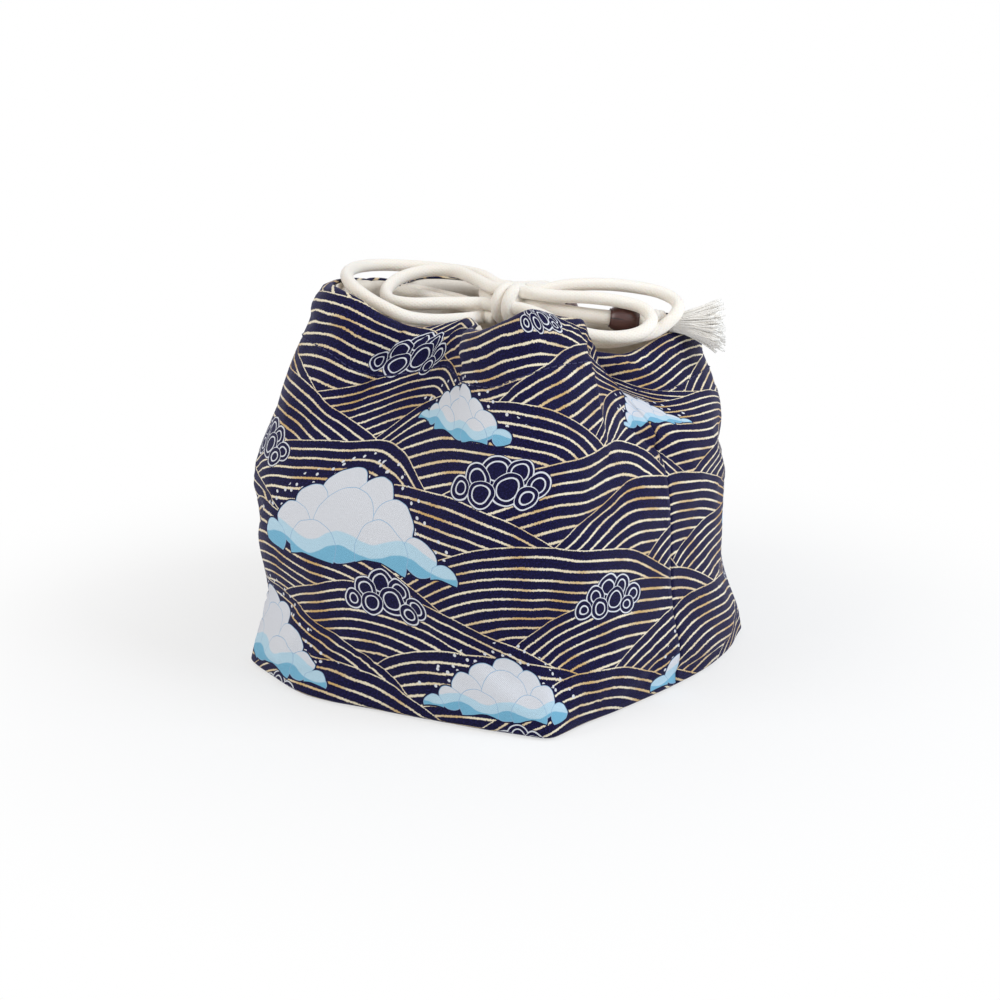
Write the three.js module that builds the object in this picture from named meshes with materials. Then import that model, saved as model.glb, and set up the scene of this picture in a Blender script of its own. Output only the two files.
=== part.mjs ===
// Drawstring bucket bag: a soft square-based bag of printed cotton with a cotton lining.
// Two cords run round the mouth in a front and a back casing, leave it at the side slits,
// and are tied in a bow over the mouth. Each pair of cord ends has a wooden bead and a tassel.
// Millimetres, +Z up. The origin is the middle of the base, -Y is the front and +X the right side.
import * as THREE from "three";

// Cloth and fits
const CLOTH = 0.8;
const LINING = 0.6;
const GAP = 0.3;

// Base, belly and shoulder of the bag
const BASE_WIDTH = 152;
const BASE_DEPTH = 152;
const BASE_SQUARENESS = 12;
const BELLY_WIDTH = 166;
const BELLY_DEPTH = 166;
const BELLY_SQUARENESS = 4;
const BELLY_HEIGHT = 75;
const SHOULDER_POWER = 1.6;

// The wall's foot bows out between the corners of the base: where, in degrees, and how far.
// It bows in full up to one height and no more from another.
const FOOT_BOW = [
  { angle: 0, out: 9 },
  { angle: 20, out: 10 },
  { angle: 43, out: 1 },
  { angle: 68, out: 5 },
  { angle: 90, out: 7 },
  { angle: 112, out: 5 },
  { angle: 135, out: 1 },
  { angle: 158, out: 5 },
  { angle: 180, out: 7 },
  { angle: 202, out: 5 },
  { angle: 222, out: 0 },
  { angle: 237, out: 12 },
  { angle: 250, out: 18 },
  { angle: 270, out: 14 },
  { angle: 290, out: 9 },
  { angle: 314, out: 0 },
  { angle: 338, out: 5 },
];
const BOW_LEVEL = 8;
const BOW_HEIGHT = 52;

// The slack belly leans to the left and the front, most between two heights
const BELLY_SHIFT = new THREE.Vector3(-3.5, -2.5, 0);
const LEAN_FROM = 10;
const LEAN_FULL = 60;
const LEAN_FALLS = 80;
const LEAN_ENDS = 112;

// The gathered rim, every eighth of a turn from the right-hand slit: valleys and corner lobes.
// Each place lies some way below the highest lobe, and the casing reaches its hem's depth further down.
// A slit's casing ends level with its lobe's, so that the rim can slide out over the wall.
const RIM_HEIGHT = 160;
const RIM = [
  { name: "right slit", radius: 46, below: 28, hem: 18 },
  { name: "back right lobe", radius: 76, below: 20, hem: 26 },
  { name: "back valley", radius: 42, below: 22, hem: 22 },
  { name: "back left lobe", radius: 66, below: 17, hem: 22 },
  { name: "left slit", radius: 56, below: 12, hem: 20 },
  { name: "front left lobe", radius: 70, below: 2, hem: 30 },
  { name: "front valley", radius: 36, below: 16, hem: 22 },
  { name: "front right lobe", radius: 68, below: 0, hem: 46 },
];

// Cord and the casing that it runs in
const CORD_DIAMETER = 5;
const CORD_CLEARANCE = 0.4;
const CORD_PITCH = 6.2;
const HEM_SQUARE = 14;
const SLIT_WIDTH = 24;
const LEAD_STRAIGHT = 3;

// Bow knot, beads, end knots and tassels
const KNOT_CENTRE = new THREE.Vector3(6, -3, 150);
const KNOT_LENGTH = 13;
const KNOT_WIDTH = 19;
const KNOT_HEIGHT = 17;
const KNOT_SLOT_PITCH = 5.6;
const KNOT_STRAIGHT = 3;
const BUNDLE_DIAMETER = 6.2;
const BEAD_DIAMETER = 11;
const BEAD_LENGTH = 12;
const BEAD_CLEARANCE = 0.4;
const BEAD_END_SHARE = 0.8;
const RIGHT_BEAD_START = 8.4;
const LEFT_BEAD_START = 6;
const END_KNOT_DIAMETER = 11;
const END_KNOT_LENGTH = 9;
const TASSEL_LENGTH = 21;
const TASSEL_NECK = 7;
const TASSEL_SPREAD = 16;
const TASSEL_CONE = THREE.MathUtils.degToRad(36);

// Steps of the meshes
const COLUMNS = 26;
const ROWS = 7;
const CORD_SIDES = 8;
const ROUND_STEPS = 16;
const CORD_STEP = 2.4 * CORD_DIAMETER;

const TURN = 2 * Math.PI;
const HALF_TURN = Math.PI;
const EIGHTH = TURN / 8;
const ACROSS_CLOTH = CLOTH + GAP + LINING;
const OUTER_FACE = ACROSS_CLOTH / 2;
const LINING_FACE = OUTER_FACE - CLOTH - GAP;
const OUTER_FOOT = CLOTH + GAP;
const LINING_FOOT = OUTER_FOOT + LINING + GAP;
const UPPER_RUN = CLOTH + CORD_CLEARANCE + CORD_DIAMETER / 2;
const LOWER_RUN = UPPER_RUN + CORD_PITCH;

// Polar radius of a rounded square: squareness 2 is an ellipse, and more is squarer
function squareRadius(angle, width, depth, squareness) {
  const across = Math.abs(Math.cos(angle)) / (width / 2);
  const along = Math.abs(Math.sin(angle)) / (depth / 2);
  return Math.pow(across ** squareness + along ** squareness, -1 / squareness);
}

// Radius, height and hem of the rim's top edge at an angle, eased between the valleys and lobes
function rimAt(angle) {
  const turns = ((angle % TURN) + TURN) % TURN;
  const index = Math.floor(turns / EIGHTH) % RIM.length;
  const share = turns / EIGHTH - Math.floor(turns / EIGHTH);
  const eased = (1 - Math.cos(Math.PI * share)) / 2;
  const from = RIM[index];
  const to = RIM[(index + 1) % RIM.length];
  return {
    radius: THREE.MathUtils.lerp(from.radius, to.radius, eased),
    height: RIM_HEIGHT - THREE.MathUtils.lerp(from.below, to.below, eased),
    hem: THREE.MathUtils.lerp(from.hem, to.hem, eased),
  };
}

// How far the wall bows out at an angle and a height
function footBow(angle, height) {
  const degrees = THREE.MathUtils.euclideanModulo(THREE.MathUtils.radToDeg(angle), 360);
  const index = FOOT_BOW.findLastIndex((key) => key.angle <= degrees);
  const from = FOOT_BOW[index];
  const to = FOOT_BOW[(index + 1) % FOOT_BOW.length];
  const reach = THREE.MathUtils.euclideanModulo(to.angle - from.angle, 360);
  const eased = THREE.MathUtils.smoothstep(degrees, from.angle, from.angle + reach);
  const fade = 1 - THREE.MathUtils.smoothstep(height, BOW_LEVEL, BOW_HEIGHT);
  return THREE.MathUtils.lerp(from.out, to.out, eased) * fade;
}

// Radius of the middle of the bag's wall: out from the base to the belly, then in to the rim
function wallRadius(angle, height) {
  const square = squareRadius(angle, BASE_WIDTH, BASE_DEPTH, BASE_SQUARENESS);
  const base = square + footBow(angle, height);
  const belly = squareRadius(angle, BELLY_WIDTH, BELLY_DEPTH, BELLY_SQUARENESS);
  const rim = rimAt(angle);
  if (height < BELLY_HEIGHT) {
    const rise = Math.sin(((Math.PI / 2) * Math.max(height, 0)) / BELLY_HEIGHT);
    return THREE.MathUtils.lerp(base, belly, rise);
  }
  const share = (height - BELLY_HEIGHT) / (rim.height - BELLY_HEIGHT);
  return THREE.MathUtils.lerp(belly, rim.radius, Math.pow(share, SHOULDER_POWER));
}

function wallMiddle(angle, height) {
  const radius = wallRadius(angle, height);
  const rises = THREE.MathUtils.smoothstep(height, LEAN_FROM, LEAN_FULL);
  const falls = THREE.MathUtils.smoothstep(height, LEAN_FALLS, LEAN_ENDS);
  return new THREE.Vector3(radius * Math.cos(angle), radius * Math.sin(angle), height)
    .addScaledVector(BELLY_SHIFT, rises * (1 - falls));
}

// A point on the wall, moved out of its middle surface along the outward normal
function wallPoint(angle, height, offset) {
  const turnStep = 0.01;
  const heightStep = 0.5;
  const round = wallMiddle(angle + turnStep, height).sub(wallMiddle(angle - turnStep, height));
  const rise = wallMiddle(angle, height + heightStep).sub(wallMiddle(angle, height - heightStep));
  const normal = round.cross(rise).normalize();
  return wallMiddle(angle, height).addScaledVector(normal, offset);
}

function rimPoint(angle) {
  const rim = rimAt(angle);
  return new THREE.Vector3(
    rim.radius * Math.cos(angle),
    rim.radius * Math.sin(angle),
    rim.height,
  );
}

// The casing's cross-section at an angle: the rim's top, the way up the cloth and the way out of it.
// It starts down the wall square to the rim's line, and its foot is on the wall one hem below the rim.
function casingFrame(angle) {
  const turnStep = 0.01;
  const top = rimPoint(angle);
  const along = rimPoint(angle + turnStep).sub(rimPoint(angle - turnStep)).normalize();
  const squareHeight = top.z - HEM_SQUARE;
  let footAngle = angle;
  for (let i = 0; i < 12; i += 1) {
    const miss = top.clone().sub(wallMiddle(footAngle, squareHeight)).dot(along);
    footAngle += (0.7 * miss) / wallRadius(footAngle, squareHeight);
  }
  const foot = wallMiddle(footAngle, top.z - rimAt(angle).hem);
  const up = top.clone().sub(foot).normalize();
  const out = along.clone().cross(up).normalize();
  return { top, foot, footAngle, up, out, along, length: top.distanceTo(foot) };
}

// A point of a casing section: across, out of the cloth, and down, from the rim's top
function inCasing(frame, across, down) {
  return frame.top
    .clone()
    .addScaledVector(frame.out, across)
    .addScaledVector(frame.up, -down);
}

// A point of a casing's foot, which is cut level: across, out of the cloth
function casingFoot(frame, across) {
  const level = new THREE.Vector3(frame.out.x, frame.out.y, 0);
  return frame.foot.clone().addScaledVector(level, across / level.lengthSq());
}

function slitAngle(rim) {
  return Math.asin(SLIT_WIDTH / 2 / rim.radius);
}

// Angles of one half of the bag: from the side seam past the slit's edge to the other slit and seam.
// At the foot the columns are shared out anew, so that one stands on each corner of the base.
function halfAngles(start, firstRim, lastRim) {
  const seam = GAP / 2 / (BASE_WIDTH / 2);
  const first = start + seam;
  const last = start + HALF_TURN - seam;
  const from = start + slitAngle(firstRim);
  const to = start + HALF_TURN - slitAngle(lastRim);
  const casing = [];
  for (let i = 0; i <= COLUMNS; i += 1) {
    casing.push(THREE.MathUtils.lerp(from, to, i / COLUMNS));
  }
  const top = [first, (first + from) / 2, ...casing, (to + last) / 2, last];
  const quarter = Math.round((top.length - 1) / 4);
  const firstCorner = start + Math.atan2(BASE_DEPTH, BASE_WIDTH);
  const lastCorner = start + HALF_TURN - Math.atan2(BASE_DEPTH, BASE_WIDTH);
  const foot = top.map((angle, i) => {
    const end = top.length - 1;
    if (i <= quarter) {
      return THREE.MathUtils.lerp(first, firstCorner, i / quarter);
    }
    if (i >= end - quarter) {
      return THREE.MathUtils.lerp(last, lastCorner, (end - i) / quarter);
    }
    return THREE.MathUtils.lerp(firstCorner, lastCorner, (i - quarter) / (end - 2 * quarter));
  });
  return { top, foot, casing };
}

const FRONT = halfAngles(-HALF_TURN, RIM[4], RIM[0]);
const BACK = halfAngles(0, RIM[0], RIM[4]);

// One closed solid from vertices and triangles
function solid(vertices, triangles) {
  const geometry = new THREE.BufferGeometry();
  const positions = vertices.flatMap((v) => [v.x, v.y, v.z]);
  geometry.setAttribute("position", new THREE.Float32BufferAttribute(positions, 3));
  geometry.setIndex(triangles.flat());
  geometry.computeVertexNormals();
  return geometry;
}

function quad(a, b, c, d) {
  return [
    [a, b, c],
    [a, c, d],
  ];
}

// A curved sheet with thickness: grids of the same size for its outer and its inner face
function sheetSolid(outer, inner) {
  const columns = outer.length;
  const rows = outer[0].length;
  const vertices = [...outer.flat(), ...inner.flat()];
  const front = (i, j) => i * rows + j;
  const back = (i, j) => columns * rows + i * rows + j;
  const triangles = [];
  for (let i = 0; i + 1 < columns; i += 1) {
    for (let j = 0; j + 1 < rows; j += 1) {
      triangles.push(...quad(front(i, j), front(i + 1, j), front(i + 1, j + 1), front(i, j + 1)));
      triangles.push(...quad(back(i, j), back(i, j + 1), back(i + 1, j + 1), back(i + 1, j)));
    }
    const top = rows - 1;
    triangles.push(...quad(front(i, 0), back(i, 0), back(i + 1, 0), front(i + 1, 0)));
    triangles.push(...quad(front(i, top), front(i + 1, top), back(i + 1, top), back(i, top)));
  }
  const last = columns - 1;
  for (let j = 0; j + 1 < rows; j += 1) {
    triangles.push(...quad(front(0, j), front(0, j + 1), back(0, j + 1), back(0, j)));
    triangles.push(...quad(front(last, j), back(last, j), back(last, j + 1), front(last, j + 1)));
  }
  return solid(vertices, triangles);
}

// Half of the bag's wall, from its foot to just under the casing. Rows are shared by cloth and lining.
function wallPanel(angles, foot, outerOffset, innerOffset) {
  const grid = (offset) =>
    angles.top.map((angle, i) => {
      const frame = casingFrame(angle);
      const column = [];
      for (let j = 0; j < ROWS; j += 1) {
        const share = j / ROWS;
        const turn = THREE.MathUtils.lerp(angles.foot[i], frame.footAngle, share * share);
        column.push(wallPoint(turn, THREE.MathUtils.lerp(OUTER_FOOT, frame.foot.z, share), offset));
      }
      column[0].z = foot;
      const edge = casingFoot(frame, offset);
      edge.z -= GAP;
      column.push(edge);
      return column;
    });
  return sheetSolid(grid(outerOffset), grid(innerOffset));
}

// A flat base piece under the wall's foot
function basePanel(bottom, thickness, offset) {
  const outline = new THREE.Shape(
    [...FRONT.foot, ...BACK.foot].map((angle) => {
      const point = wallPoint(angle, bottom, offset);
      return new THREE.Vector2(point.x, point.y);
    }),
  );
  const geometry = new THREE.ExtrudeGeometry(outline, { depth: thickness, bevelEnabled: false });
  return geometry.translate(0, 0, bottom);
}

// A swept solid: rings of points along a path, with the end rings closed, and a bore if there is one
function sweep(outerRings, boreRings) {
  const steps = outerRings.length;
  const sides = outerRings[0].length;
  const vertices = outerRings.flat();
  const triangles = [];
  const skin = (first, count, outward) => {
    for (let i = 0; i + 1 < steps; i += 1) {
      for (let j = 0; j < count; j += 1) {
        const a = first + i * count + j;
        const b = first + i * count + ((j + 1) % count);
        const face = outward ? quad(a, b, b + count, a + count) : quad(a, a + count, b + count, b);
        triangles.push(...face);
      }
    }
  };
  skin(0, sides, true);
  const boreFirst = vertices.length;
  const boreSides = boreRings ? boreRings[0].length : 0;
  if (boreRings) {
    vertices.push(...boreRings.flat());
    skin(boreFirst, boreSides, false);
  }
  const cap = (step, facesStart) => {
    const ring = outerRings[step];
    const hole = boreRings ? boreRings[step] : [];
    const flat = flatten(ring, hole);
    const faces = THREE.ShapeUtils.triangulateShape(flat.contour, hole.length ? [flat.hole] : []);
    const index = (k) => (k < sides ? step * sides + k : boreFirst + step * boreSides + k - sides);
    for (const face of faces) {
      const [a, b, c] = face.map(index);
      triangles.push(facesStart ? [a, c, b] : [a, b, c]);
    }
  };
  cap(0, true);
  cap(steps - 1, false);
  return solid(vertices, triangles);
}

// The points of an end ring and its bore in the ring's own plane
function flatten(ring, hole) {
  const centre = ring.reduce((sum, p) => sum.add(p), new THREE.Vector3()).divideScalar(ring.length);
  const x = ring[0].clone().sub(centre).normalize();
  const normal = new THREE.Vector3();
  ring.forEach((p, i) => {
    const next = ring[(i + 1) % ring.length];
    normal.add(p.clone().sub(centre).cross(next.clone().sub(centre)));
  });
  const y = normal.normalize().cross(x);
  const flat = (p) => new THREE.Vector2(p.clone().sub(centre).dot(x), p.clone().sub(centre).dot(y));
  return { contour: ring.map(flat), hole: hole.map(flat) };
}

// Half round from one side of a casing section to the other, as [across, down] pairs
function halfRound(radius, down, facesUp, steps) {
  const points = [];
  for (let i = 0; i <= steps; i += 1) {
    const turn = (Math.PI * i) / steps;
    const lift = radius * Math.sin(turn);
    const across = radius * Math.cos(turn);
    points.push(facesUp ? [-across, down - lift] : [across, down + lift]);
  }
  return points;
}

// The casing: a hem folded into a tunnel round both runs of cord, and stitched flat below them
function casingPiece(angles) {
  const bore = CORD_DIAMETER / 2 + CORD_CLEARANCE;
  const half = bore + CLOTH;
  const frames = angles.map(casingFrame);
  const outer = frames.map((frame) => {
    const neck = (LOWER_RUN + half + frame.length) / 2;
    const section = [
      [LINING_FACE - LINING, neck],
      [-half, LOWER_RUN],
      ...halfRound(half, UPPER_RUN, true, 4),
      [half, LOWER_RUN],
      [OUTER_FACE, neck],
    ];
    return [
      casingFoot(frame, LINING_FACE - LINING),
      ...section.map(([across, down]) => inCasing(frame, across, down)),
      casingFoot(frame, OUTER_FACE),
    ];
  });
  const tunnel = frames.map((frame) => {
    const section = [...halfRound(bore, UPPER_RUN, true, 4), ...halfRound(bore, LOWER_RUN, false, 4)];
    return section.map(([across, down]) => inCasing(frame, across, down));
  });
  return sweep(outer, tunnel);
}

// A run of cord inside a casing
function casingCord(angles, down) {
  const rings = angles.map((angle) => {
    const frame = casingFrame(angle);
    const ring = [];
    for (let i = 0; i < CORD_SIDES; i += 1) {
      const turn = (TURN * i) / CORD_SIDES;
      const across = (CORD_DIAMETER / 2) * Math.cos(turn);
      ring.push(inCasing(frame, across, down + (CORD_DIAMETER / 2) * Math.sin(turn)));
    }
    return ring;
  });
  return sweep(rings);
}

// The casing's angles and on to the middle of a slit, where a run crosses to the other casing
function acrossSlit(angles, slitMiddle, rim) {
  const short = GAP / 2 / rim.radius;
  const atStart = Math.abs(slitMiddle - angles[0]) < Math.abs(slitMiddle - angles[angles.length - 1]);
  const near = atStart ? angles[0] : angles[angles.length - 1];
  const end = slitMiddle + Math.sign(near - slitMiddle) * short;
  const steps = [(near + end) / 2, end];
  return atStart ? [...steps.reverse(), ...angles] : [...angles, ...steps];
}

// Where a lead leaves a casing: one gap past the end of its run, and then straight on for a little
function leadStart(angle, down, towards) {
  const frame = casingFrame(angle);
  const end = inCasing(frame, 0, down);
  return [GAP, LEAD_STRAIGHT].map((way) => end.clone().addScaledVector(frame.along, towards * way));
}

function points(list) {
  return list.map(([x, y, z]) => new THREE.Vector3(x, y, z));
}

// A free stretch of cord along a smooth curve through its points
function cordAlong(route, diameter) {
  const curve = new THREE.CatmullRomCurve3(route, false, "centripetal");
  const section = new THREE.Shape();
  for (let i = 0; i < CORD_SIDES; i += 1) {
    const turn = (TURN * i) / CORD_SIDES;
    const x = (diameter / 2) * Math.cos(turn);
    const y = (diameter / 2) * Math.sin(turn);
    if (i === 0) {
      section.moveTo(x, y);
    } else {
      section.lineTo(x, y);
    }
  }
  const steps = Math.max(4, Math.round(curve.getLength() / CORD_STEP));
  return new THREE.ExtrudeGeometry(section, { steps, extrudePath: curve, bevelEnabled: false });
}

// Where a strand leaves the bow knot: a place in the grid of strands on its left or right face,
// and a point straight out from it
function fromKnot(side, column, row) {
  return [GAP, KNOT_STRAIGHT].map((way) =>
    KNOT_CENTRE.clone().add(
      new THREE.Vector3(
        side * (KNOT_LENGTH / 2 + way),
        column * KNOT_SLOT_PITCH,
        row * KNOT_SLOT_PITCH,
      ),
    ),
  );
}

function toKnot(side, column, row) {
  return fromKnot(side, column, row).reverse();
}

// A round solid about the line from one point to another
function turned(profile, from, to) {
  const geometry = new THREE.LatheGeometry(
    profile.map(([radius, along]) => new THREE.Vector2(radius, along)),
    ROUND_STEPS,
  );
  const direction = to.clone().sub(from).normalize();
  const turn = new THREE.Quaternion().setFromUnitVectors(new THREE.Vector3(0, 1, 0), direction);
  return geometry.applyQuaternion(turn).translate(from.x, from.y, from.z);
}

// The bow knot: two wraps of cord round the strands, as one barrel with a groove
function bowKnot() {
  const half = KNOT_LENGTH / 2;
  const groove = 0.88;
  const shoulder = 0.8;
  const profile = [
    [0, -half],
    [shoulder, -half],
    [1, -half / 2],
    [groove, 0],
    [1, half / 2],
    [shoulder, half],
    [0, half],
  ];
  const lathe = new THREE.LatheGeometry(
    profile.map(([radius, along]) => new THREE.Vector2(radius, along)),
    ROUND_STEPS,
  );
  lathe.rotateZ(-Math.PI / 2);
  lathe.scale(1, KNOT_WIDTH / 2, KNOT_HEIGHT / 2);
  return lathe.translate(KNOT_CENTRE.x, KNOT_CENTRE.y, KNOT_CENTRE.z);
}

// A barrel bead with a bore for the bundle of cord, from its near end along the bundle
function bead(from, to) {
  const bore = BUNDLE_DIAMETER / 2 + BEAD_CLEARANCE;
  const wide = BEAD_DIAMETER / 2;
  const end = Math.max(wide * BEAD_END_SHARE, bore + CLOTH / 2);
  const profile = [
    [bore, 0],
    [end, 0],
    [(end + 2 * wide) / 3, BEAD_LENGTH / 6],
    [wide, BEAD_LENGTH / 2],
    [(end + 2 * wide) / 3, (5 * BEAD_LENGTH) / 6],
    [end, BEAD_LENGTH],
    [bore, BEAD_LENGTH],
    [bore, 0],
  ];
  return turned(profile, from, to);
}

function endKnot(from, to) {
  const wide = END_KNOT_DIAMETER / 2;
  const profile = [
    [0, 0],
    [BUNDLE_DIAMETER / 2, 0],
    [wide, END_KNOT_LENGTH / 3],
    [wide, (2 * END_KNOT_LENGTH) / 3],
    [TASSEL_NECK / 2, END_KNOT_LENGTH],
    [0, END_KNOT_LENGTH],
  ];
  return turned(profile, from, to);
}

// A tassel: its neck starts as a cone, which leaves room to swing against the knot
function tassel(from, to) {
  const neck = TASSEL_NECK / 2;
  const profile = [
    [0, 0],
    [neck, neck * Math.tan(TASSEL_CONE)],
    [(TASSEL_NECK + TASSEL_SPREAD) / 4, TASSEL_LENGTH / 3],
    [TASSEL_SPREAD / 2, TASSEL_LENGTH],
    [0, TASSEL_LENGTH],
  ];
  return turned(profile, from, to);
}

// Materials
const PRINTED_CLOTH = new THREE.MeshStandardMaterial({ color: 0x1c1d40, roughness: 0.85 });
const LINING_CLOTH = new THREE.MeshStandardMaterial({ color: 0xe9dfd2, roughness: 0.9 });
const COTTON_CORD = new THREE.MeshStandardMaterial({ color: 0xf1e9df, roughness: 0.9 });
const DARK_WOOD = new THREE.MeshStandardMaterial({ color: 0x3a2426, roughness: 0.45 });

const bag = new THREE.Group();

function add(name, geometry, material) {
  const mesh = new THREE.Mesh(geometry, material);
  mesh.name = name;
  bag.add(mesh);
}

// Base and walls, outer cloth and lining
add("outer_base_panel", basePanel(0, CLOTH, OUTER_FACE), PRINTED_CLOTH);
add("lining_base_panel", basePanel(OUTER_FOOT, LINING, LINING_FACE), LINING_CLOTH);
const HALVES = [
  { name: "front", angles: FRONT, slit: [-HALF_TURN, 0] },
  { name: "back", angles: BACK, slit: [HALF_TURN, 0] },
];
for (const { name, angles, slit } of HALVES) {
  const [leftSlit, rightSlit] = slit;
  add(
    `outer_${name}_panel`,
    wallPanel(angles, OUTER_FOOT, OUTER_FACE, OUTER_FACE - CLOTH),
    PRINTED_CLOTH,
  );
  add(
    `lining_${name}_panel`,
    wallPanel(angles, LINING_FOOT, LINING_FACE, LINING_FACE - LINING),
    LINING_CLOTH,
  );
  add(`${name}_casing`, casingPiece(angles.casing), PRINTED_CLOTH);
  add(
    `${name}_casing_upper_cord`,
    casingCord(acrossSlit(angles.casing, rightSlit, RIM[0]), UPPER_RUN),
    COTTON_CORD,
  );
  add(
    `${name}_casing_lower_cord`,
    casingCord(acrossSlit(angles.casing, leftSlit, RIM[4]), LOWER_RUN),
    COTTON_CORD,
  );
}

// Leads: the upper run's ends come out of the left slit and the lower run's out of the right one
const LEFT_FRONT_EDGE = FRONT.casing[0];
const RIGHT_FRONT_EDGE = FRONT.casing[COLUMNS];
const RIGHT_BACK_EDGE = BACK.casing[0];
const LEFT_BACK_EDGE = BACK.casing[COLUMNS];
const LEADS = {
  left_front_lead: [
    ...leadStart(LEFT_FRONT_EDGE, UPPER_RUN, -1),
    ...points([
      [-54.6, -5, 147.7],
      [-47.5, -2.9, 148.2],
      [-38, -2.9, 147.9],
      [-24, -3, 147],
      [-10, -3, 145.2],
    ]),
    ...toKnot(-1, 0, -1),
  ],
  left_back_lead: [
    ...leadStart(LEFT_BACK_EDGE, UPPER_RUN, 1),
    ...points([
      [-54.6, 5, 147.5],
      [-47.5, 2.9, 148.2],
      [-38, 2.8, 147.9],
      [-24, 2.6, 147],
      [-10, 2.6, 145.2],
    ]),
    ...toKnot(-1, 1, -1),
  ],
  right_front_lead: [
    ...leadStart(RIGHT_FRONT_EDGE, LOWER_RUN, 1),
    ...points([
      [54.4, -6.4, 125.1],
      [47.5, -3.3, 123],
      [39, -3, 126.6],
      [30, -3, 133],
      [21, -3, 140.4],
    ]),
    ...toKnot(1, 0, -1),
  ],
  right_back_lead: [
    ...leadStart(RIGHT_BACK_EDGE, LOWER_RUN, -1),
    ...points([
      [54.6, 6.2, 124.1],
      [47.5, 2.8, 123.8],
      [39, 2.7, 126.6],
      [30, 2.6, 133],
      [21, 2.6, 140.4],
    ]),
    ...toKnot(1, 1, -1),
  ],
};

// The bow: two loops lie over the left rim and two over the right slit
const LOOPS = {
  left_outer_loop: [
    ...fromKnot(-1, 1, 1),
    ...points([
      [-16, 7, 157.6],
      [-34, 10, 157.6],
      [-49, 4, 158.3],
      [-59, -6, 159.3],
      [-61.5, -18, 160],
      [-56.5, -31, 160],
      [-47, -41, 158.8],
      [-36, -46, 156],
      [-25.5, -45.5, 152],
      [-17, -41.5, 148.5],
      [-10, -33, 146.6],
      [-5, -20, 145.4],
    ]),
    ...toKnot(-1, -1, -1),
  ],
  left_inner_loop: [
    ...fromKnot(-1, 0, 1),
    ...points([
      [-14, -0.5, 157.6],
      [-26, 2.2, 159],
      [-36, -2, 158.8],
      [-42.5, -12, 157],
      [-42, -23, 154],
      [-35, -30.5, 151.6],
      [-26, -29.5, 150.8],
      [-17, -21.5, 150.6],
      [-9, -13, 150.2],
    ]),
    ...toKnot(-1, -1, 0),
  ],
  right_far_loop: [
    ...fromKnot(1, 1, 1),
    ...points([
      [24, 10, 157.5],
      [35, 20, 157.7],
      [45, 29, 156.2],
      [54, 34.8, 154],
      [61.4, 34.9, 151.2],
      [65.4, 28.6, 148],
      [61.6, 20.4, 142],
      [55.4, 13.6, 139.4],
      [47.5, 7, 137.8],
      [38.5, 0, 138.8],
      [28, -6, 141.3],
      [20, -8.3, 143.2],
    ]),
    ...toKnot(1, -1, -1),
  ],
  right_near_loop: [
    ...fromKnot(1, 0, 1),
    ...points([
      [24, 2, 154.5],
      [35, 9.5, 154],
      [46, 17, 152.3],
      [54.6, 20.6, 149.9],
      [60, 18.2, 146.4],
      [60.2, 11, 143],
      [54.5, 3.3, 141.4],
      [44, -3.5, 142.3],
      [32, -7, 146],
      [22, -8.2, 149],
    ]),
    ...toKnot(1, -1, 0),
  ],
};
for (const [name, route] of Object.entries({ ...LEADS, ...LOOPS })) {
  add(name, cordAlong(route, CORD_DIAMETER), COTTON_CORD);
}
add("bow_knot", bowKnot(), COTTON_CORD);

// Tails: both ends of a cord as one bundle, with a bead on its straight stretch, a knot and a tassel.
// The right one lies over the back right rim, and the left one hangs over the back.
const RIGHT_STRAIGHT = points([
  [34, 12, 146],
  [52.5, 25.8, 143.4],
]);
const LEFT_STRAIGHT = points([
  [-13, 57.5, 141.8],
  [-13, 76, 124.5],
]);
const RIGHT_TASSEL_WAY = new THREE.Vector3(0.84, 0.53, 0.09);
const LEFT_TASSEL_WAY = new THREE.Vector3(0, 0.36, -0.93);

function straightStretch([from, to]) {
  return [0, 1 / 3, 2 / 3, 1].map((share) => from.clone().lerp(to, share));
}

// A bead, an end knot and a tassel after one another on the end of a tail
function addTailPieces(side, [from, to], beadStart, tasselWay) {
  const way = to.clone().sub(from).normalize();
  const beadFrom = from.clone().addScaledVector(way, beadStart);
  const knotFrom = to.clone().addScaledVector(way, GAP);
  const knotTo = knotFrom.clone().addScaledVector(way, END_KNOT_LENGTH);
  const tasselFrom = knotTo.clone().addScaledVector(way, GAP);
  add(`${side}_bead`, bead(beadFrom, to), DARK_WOOD);
  add(`${side}_end_knot`, endKnot(knotFrom, knotTo), COTTON_CORD);
  add(`${side}_tassel`, tassel(tasselFrom, tasselFrom.clone().add(tasselWay)), COTTON_CORD);
}

const RIGHT_TAIL = [
  ...fromKnot(1, 0.5, 0),
  ...points([
    [19, 2.6, 149.2],
    [26.2, 6.6, 147.4],
  ]),
  ...straightStretch(RIGHT_STRAIGHT),
];
add("right_tail", cordAlong(RIGHT_TAIL, BUNDLE_DIAMETER), COTTON_CORD);
addTailPieces("right", RIGHT_STRAIGHT, RIGHT_BEAD_START, RIGHT_TASSEL_WAY);

const LEFT_TAIL = [
  ...fromKnot(-1, 0.5, 0),
  ...points([
    [-8, 1.2, 150.7],
    [-14.5, 8.8, 151],
    [-15.5, 20, 150],
    [-14.5, 32, 148],
    [-14, 37, 147.4],
  ]),
];
add("left_tail", cordAlong(LEFT_TAIL, BUNDLE_DIAMETER), COTTON_CORD);
const LEFT_TAIL_END = [
  ...points([
    [-14, 37.5, 147.35],
    [-13.5, 43, 146.6],
    [-13, 51, 145.2],
  ]),
  ...straightStretch(LEFT_STRAIGHT),
];
add("left_tail_end", cordAlong(LEFT_TAIL_END, BUNDLE_DIAMETER), COTTON_CORD);
addTailPieces("left", LEFT_STRAIGHT, LEFT_BEAD_START, LEFT_TASSEL_WAY);

export default bag;
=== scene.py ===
import math
import random

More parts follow.
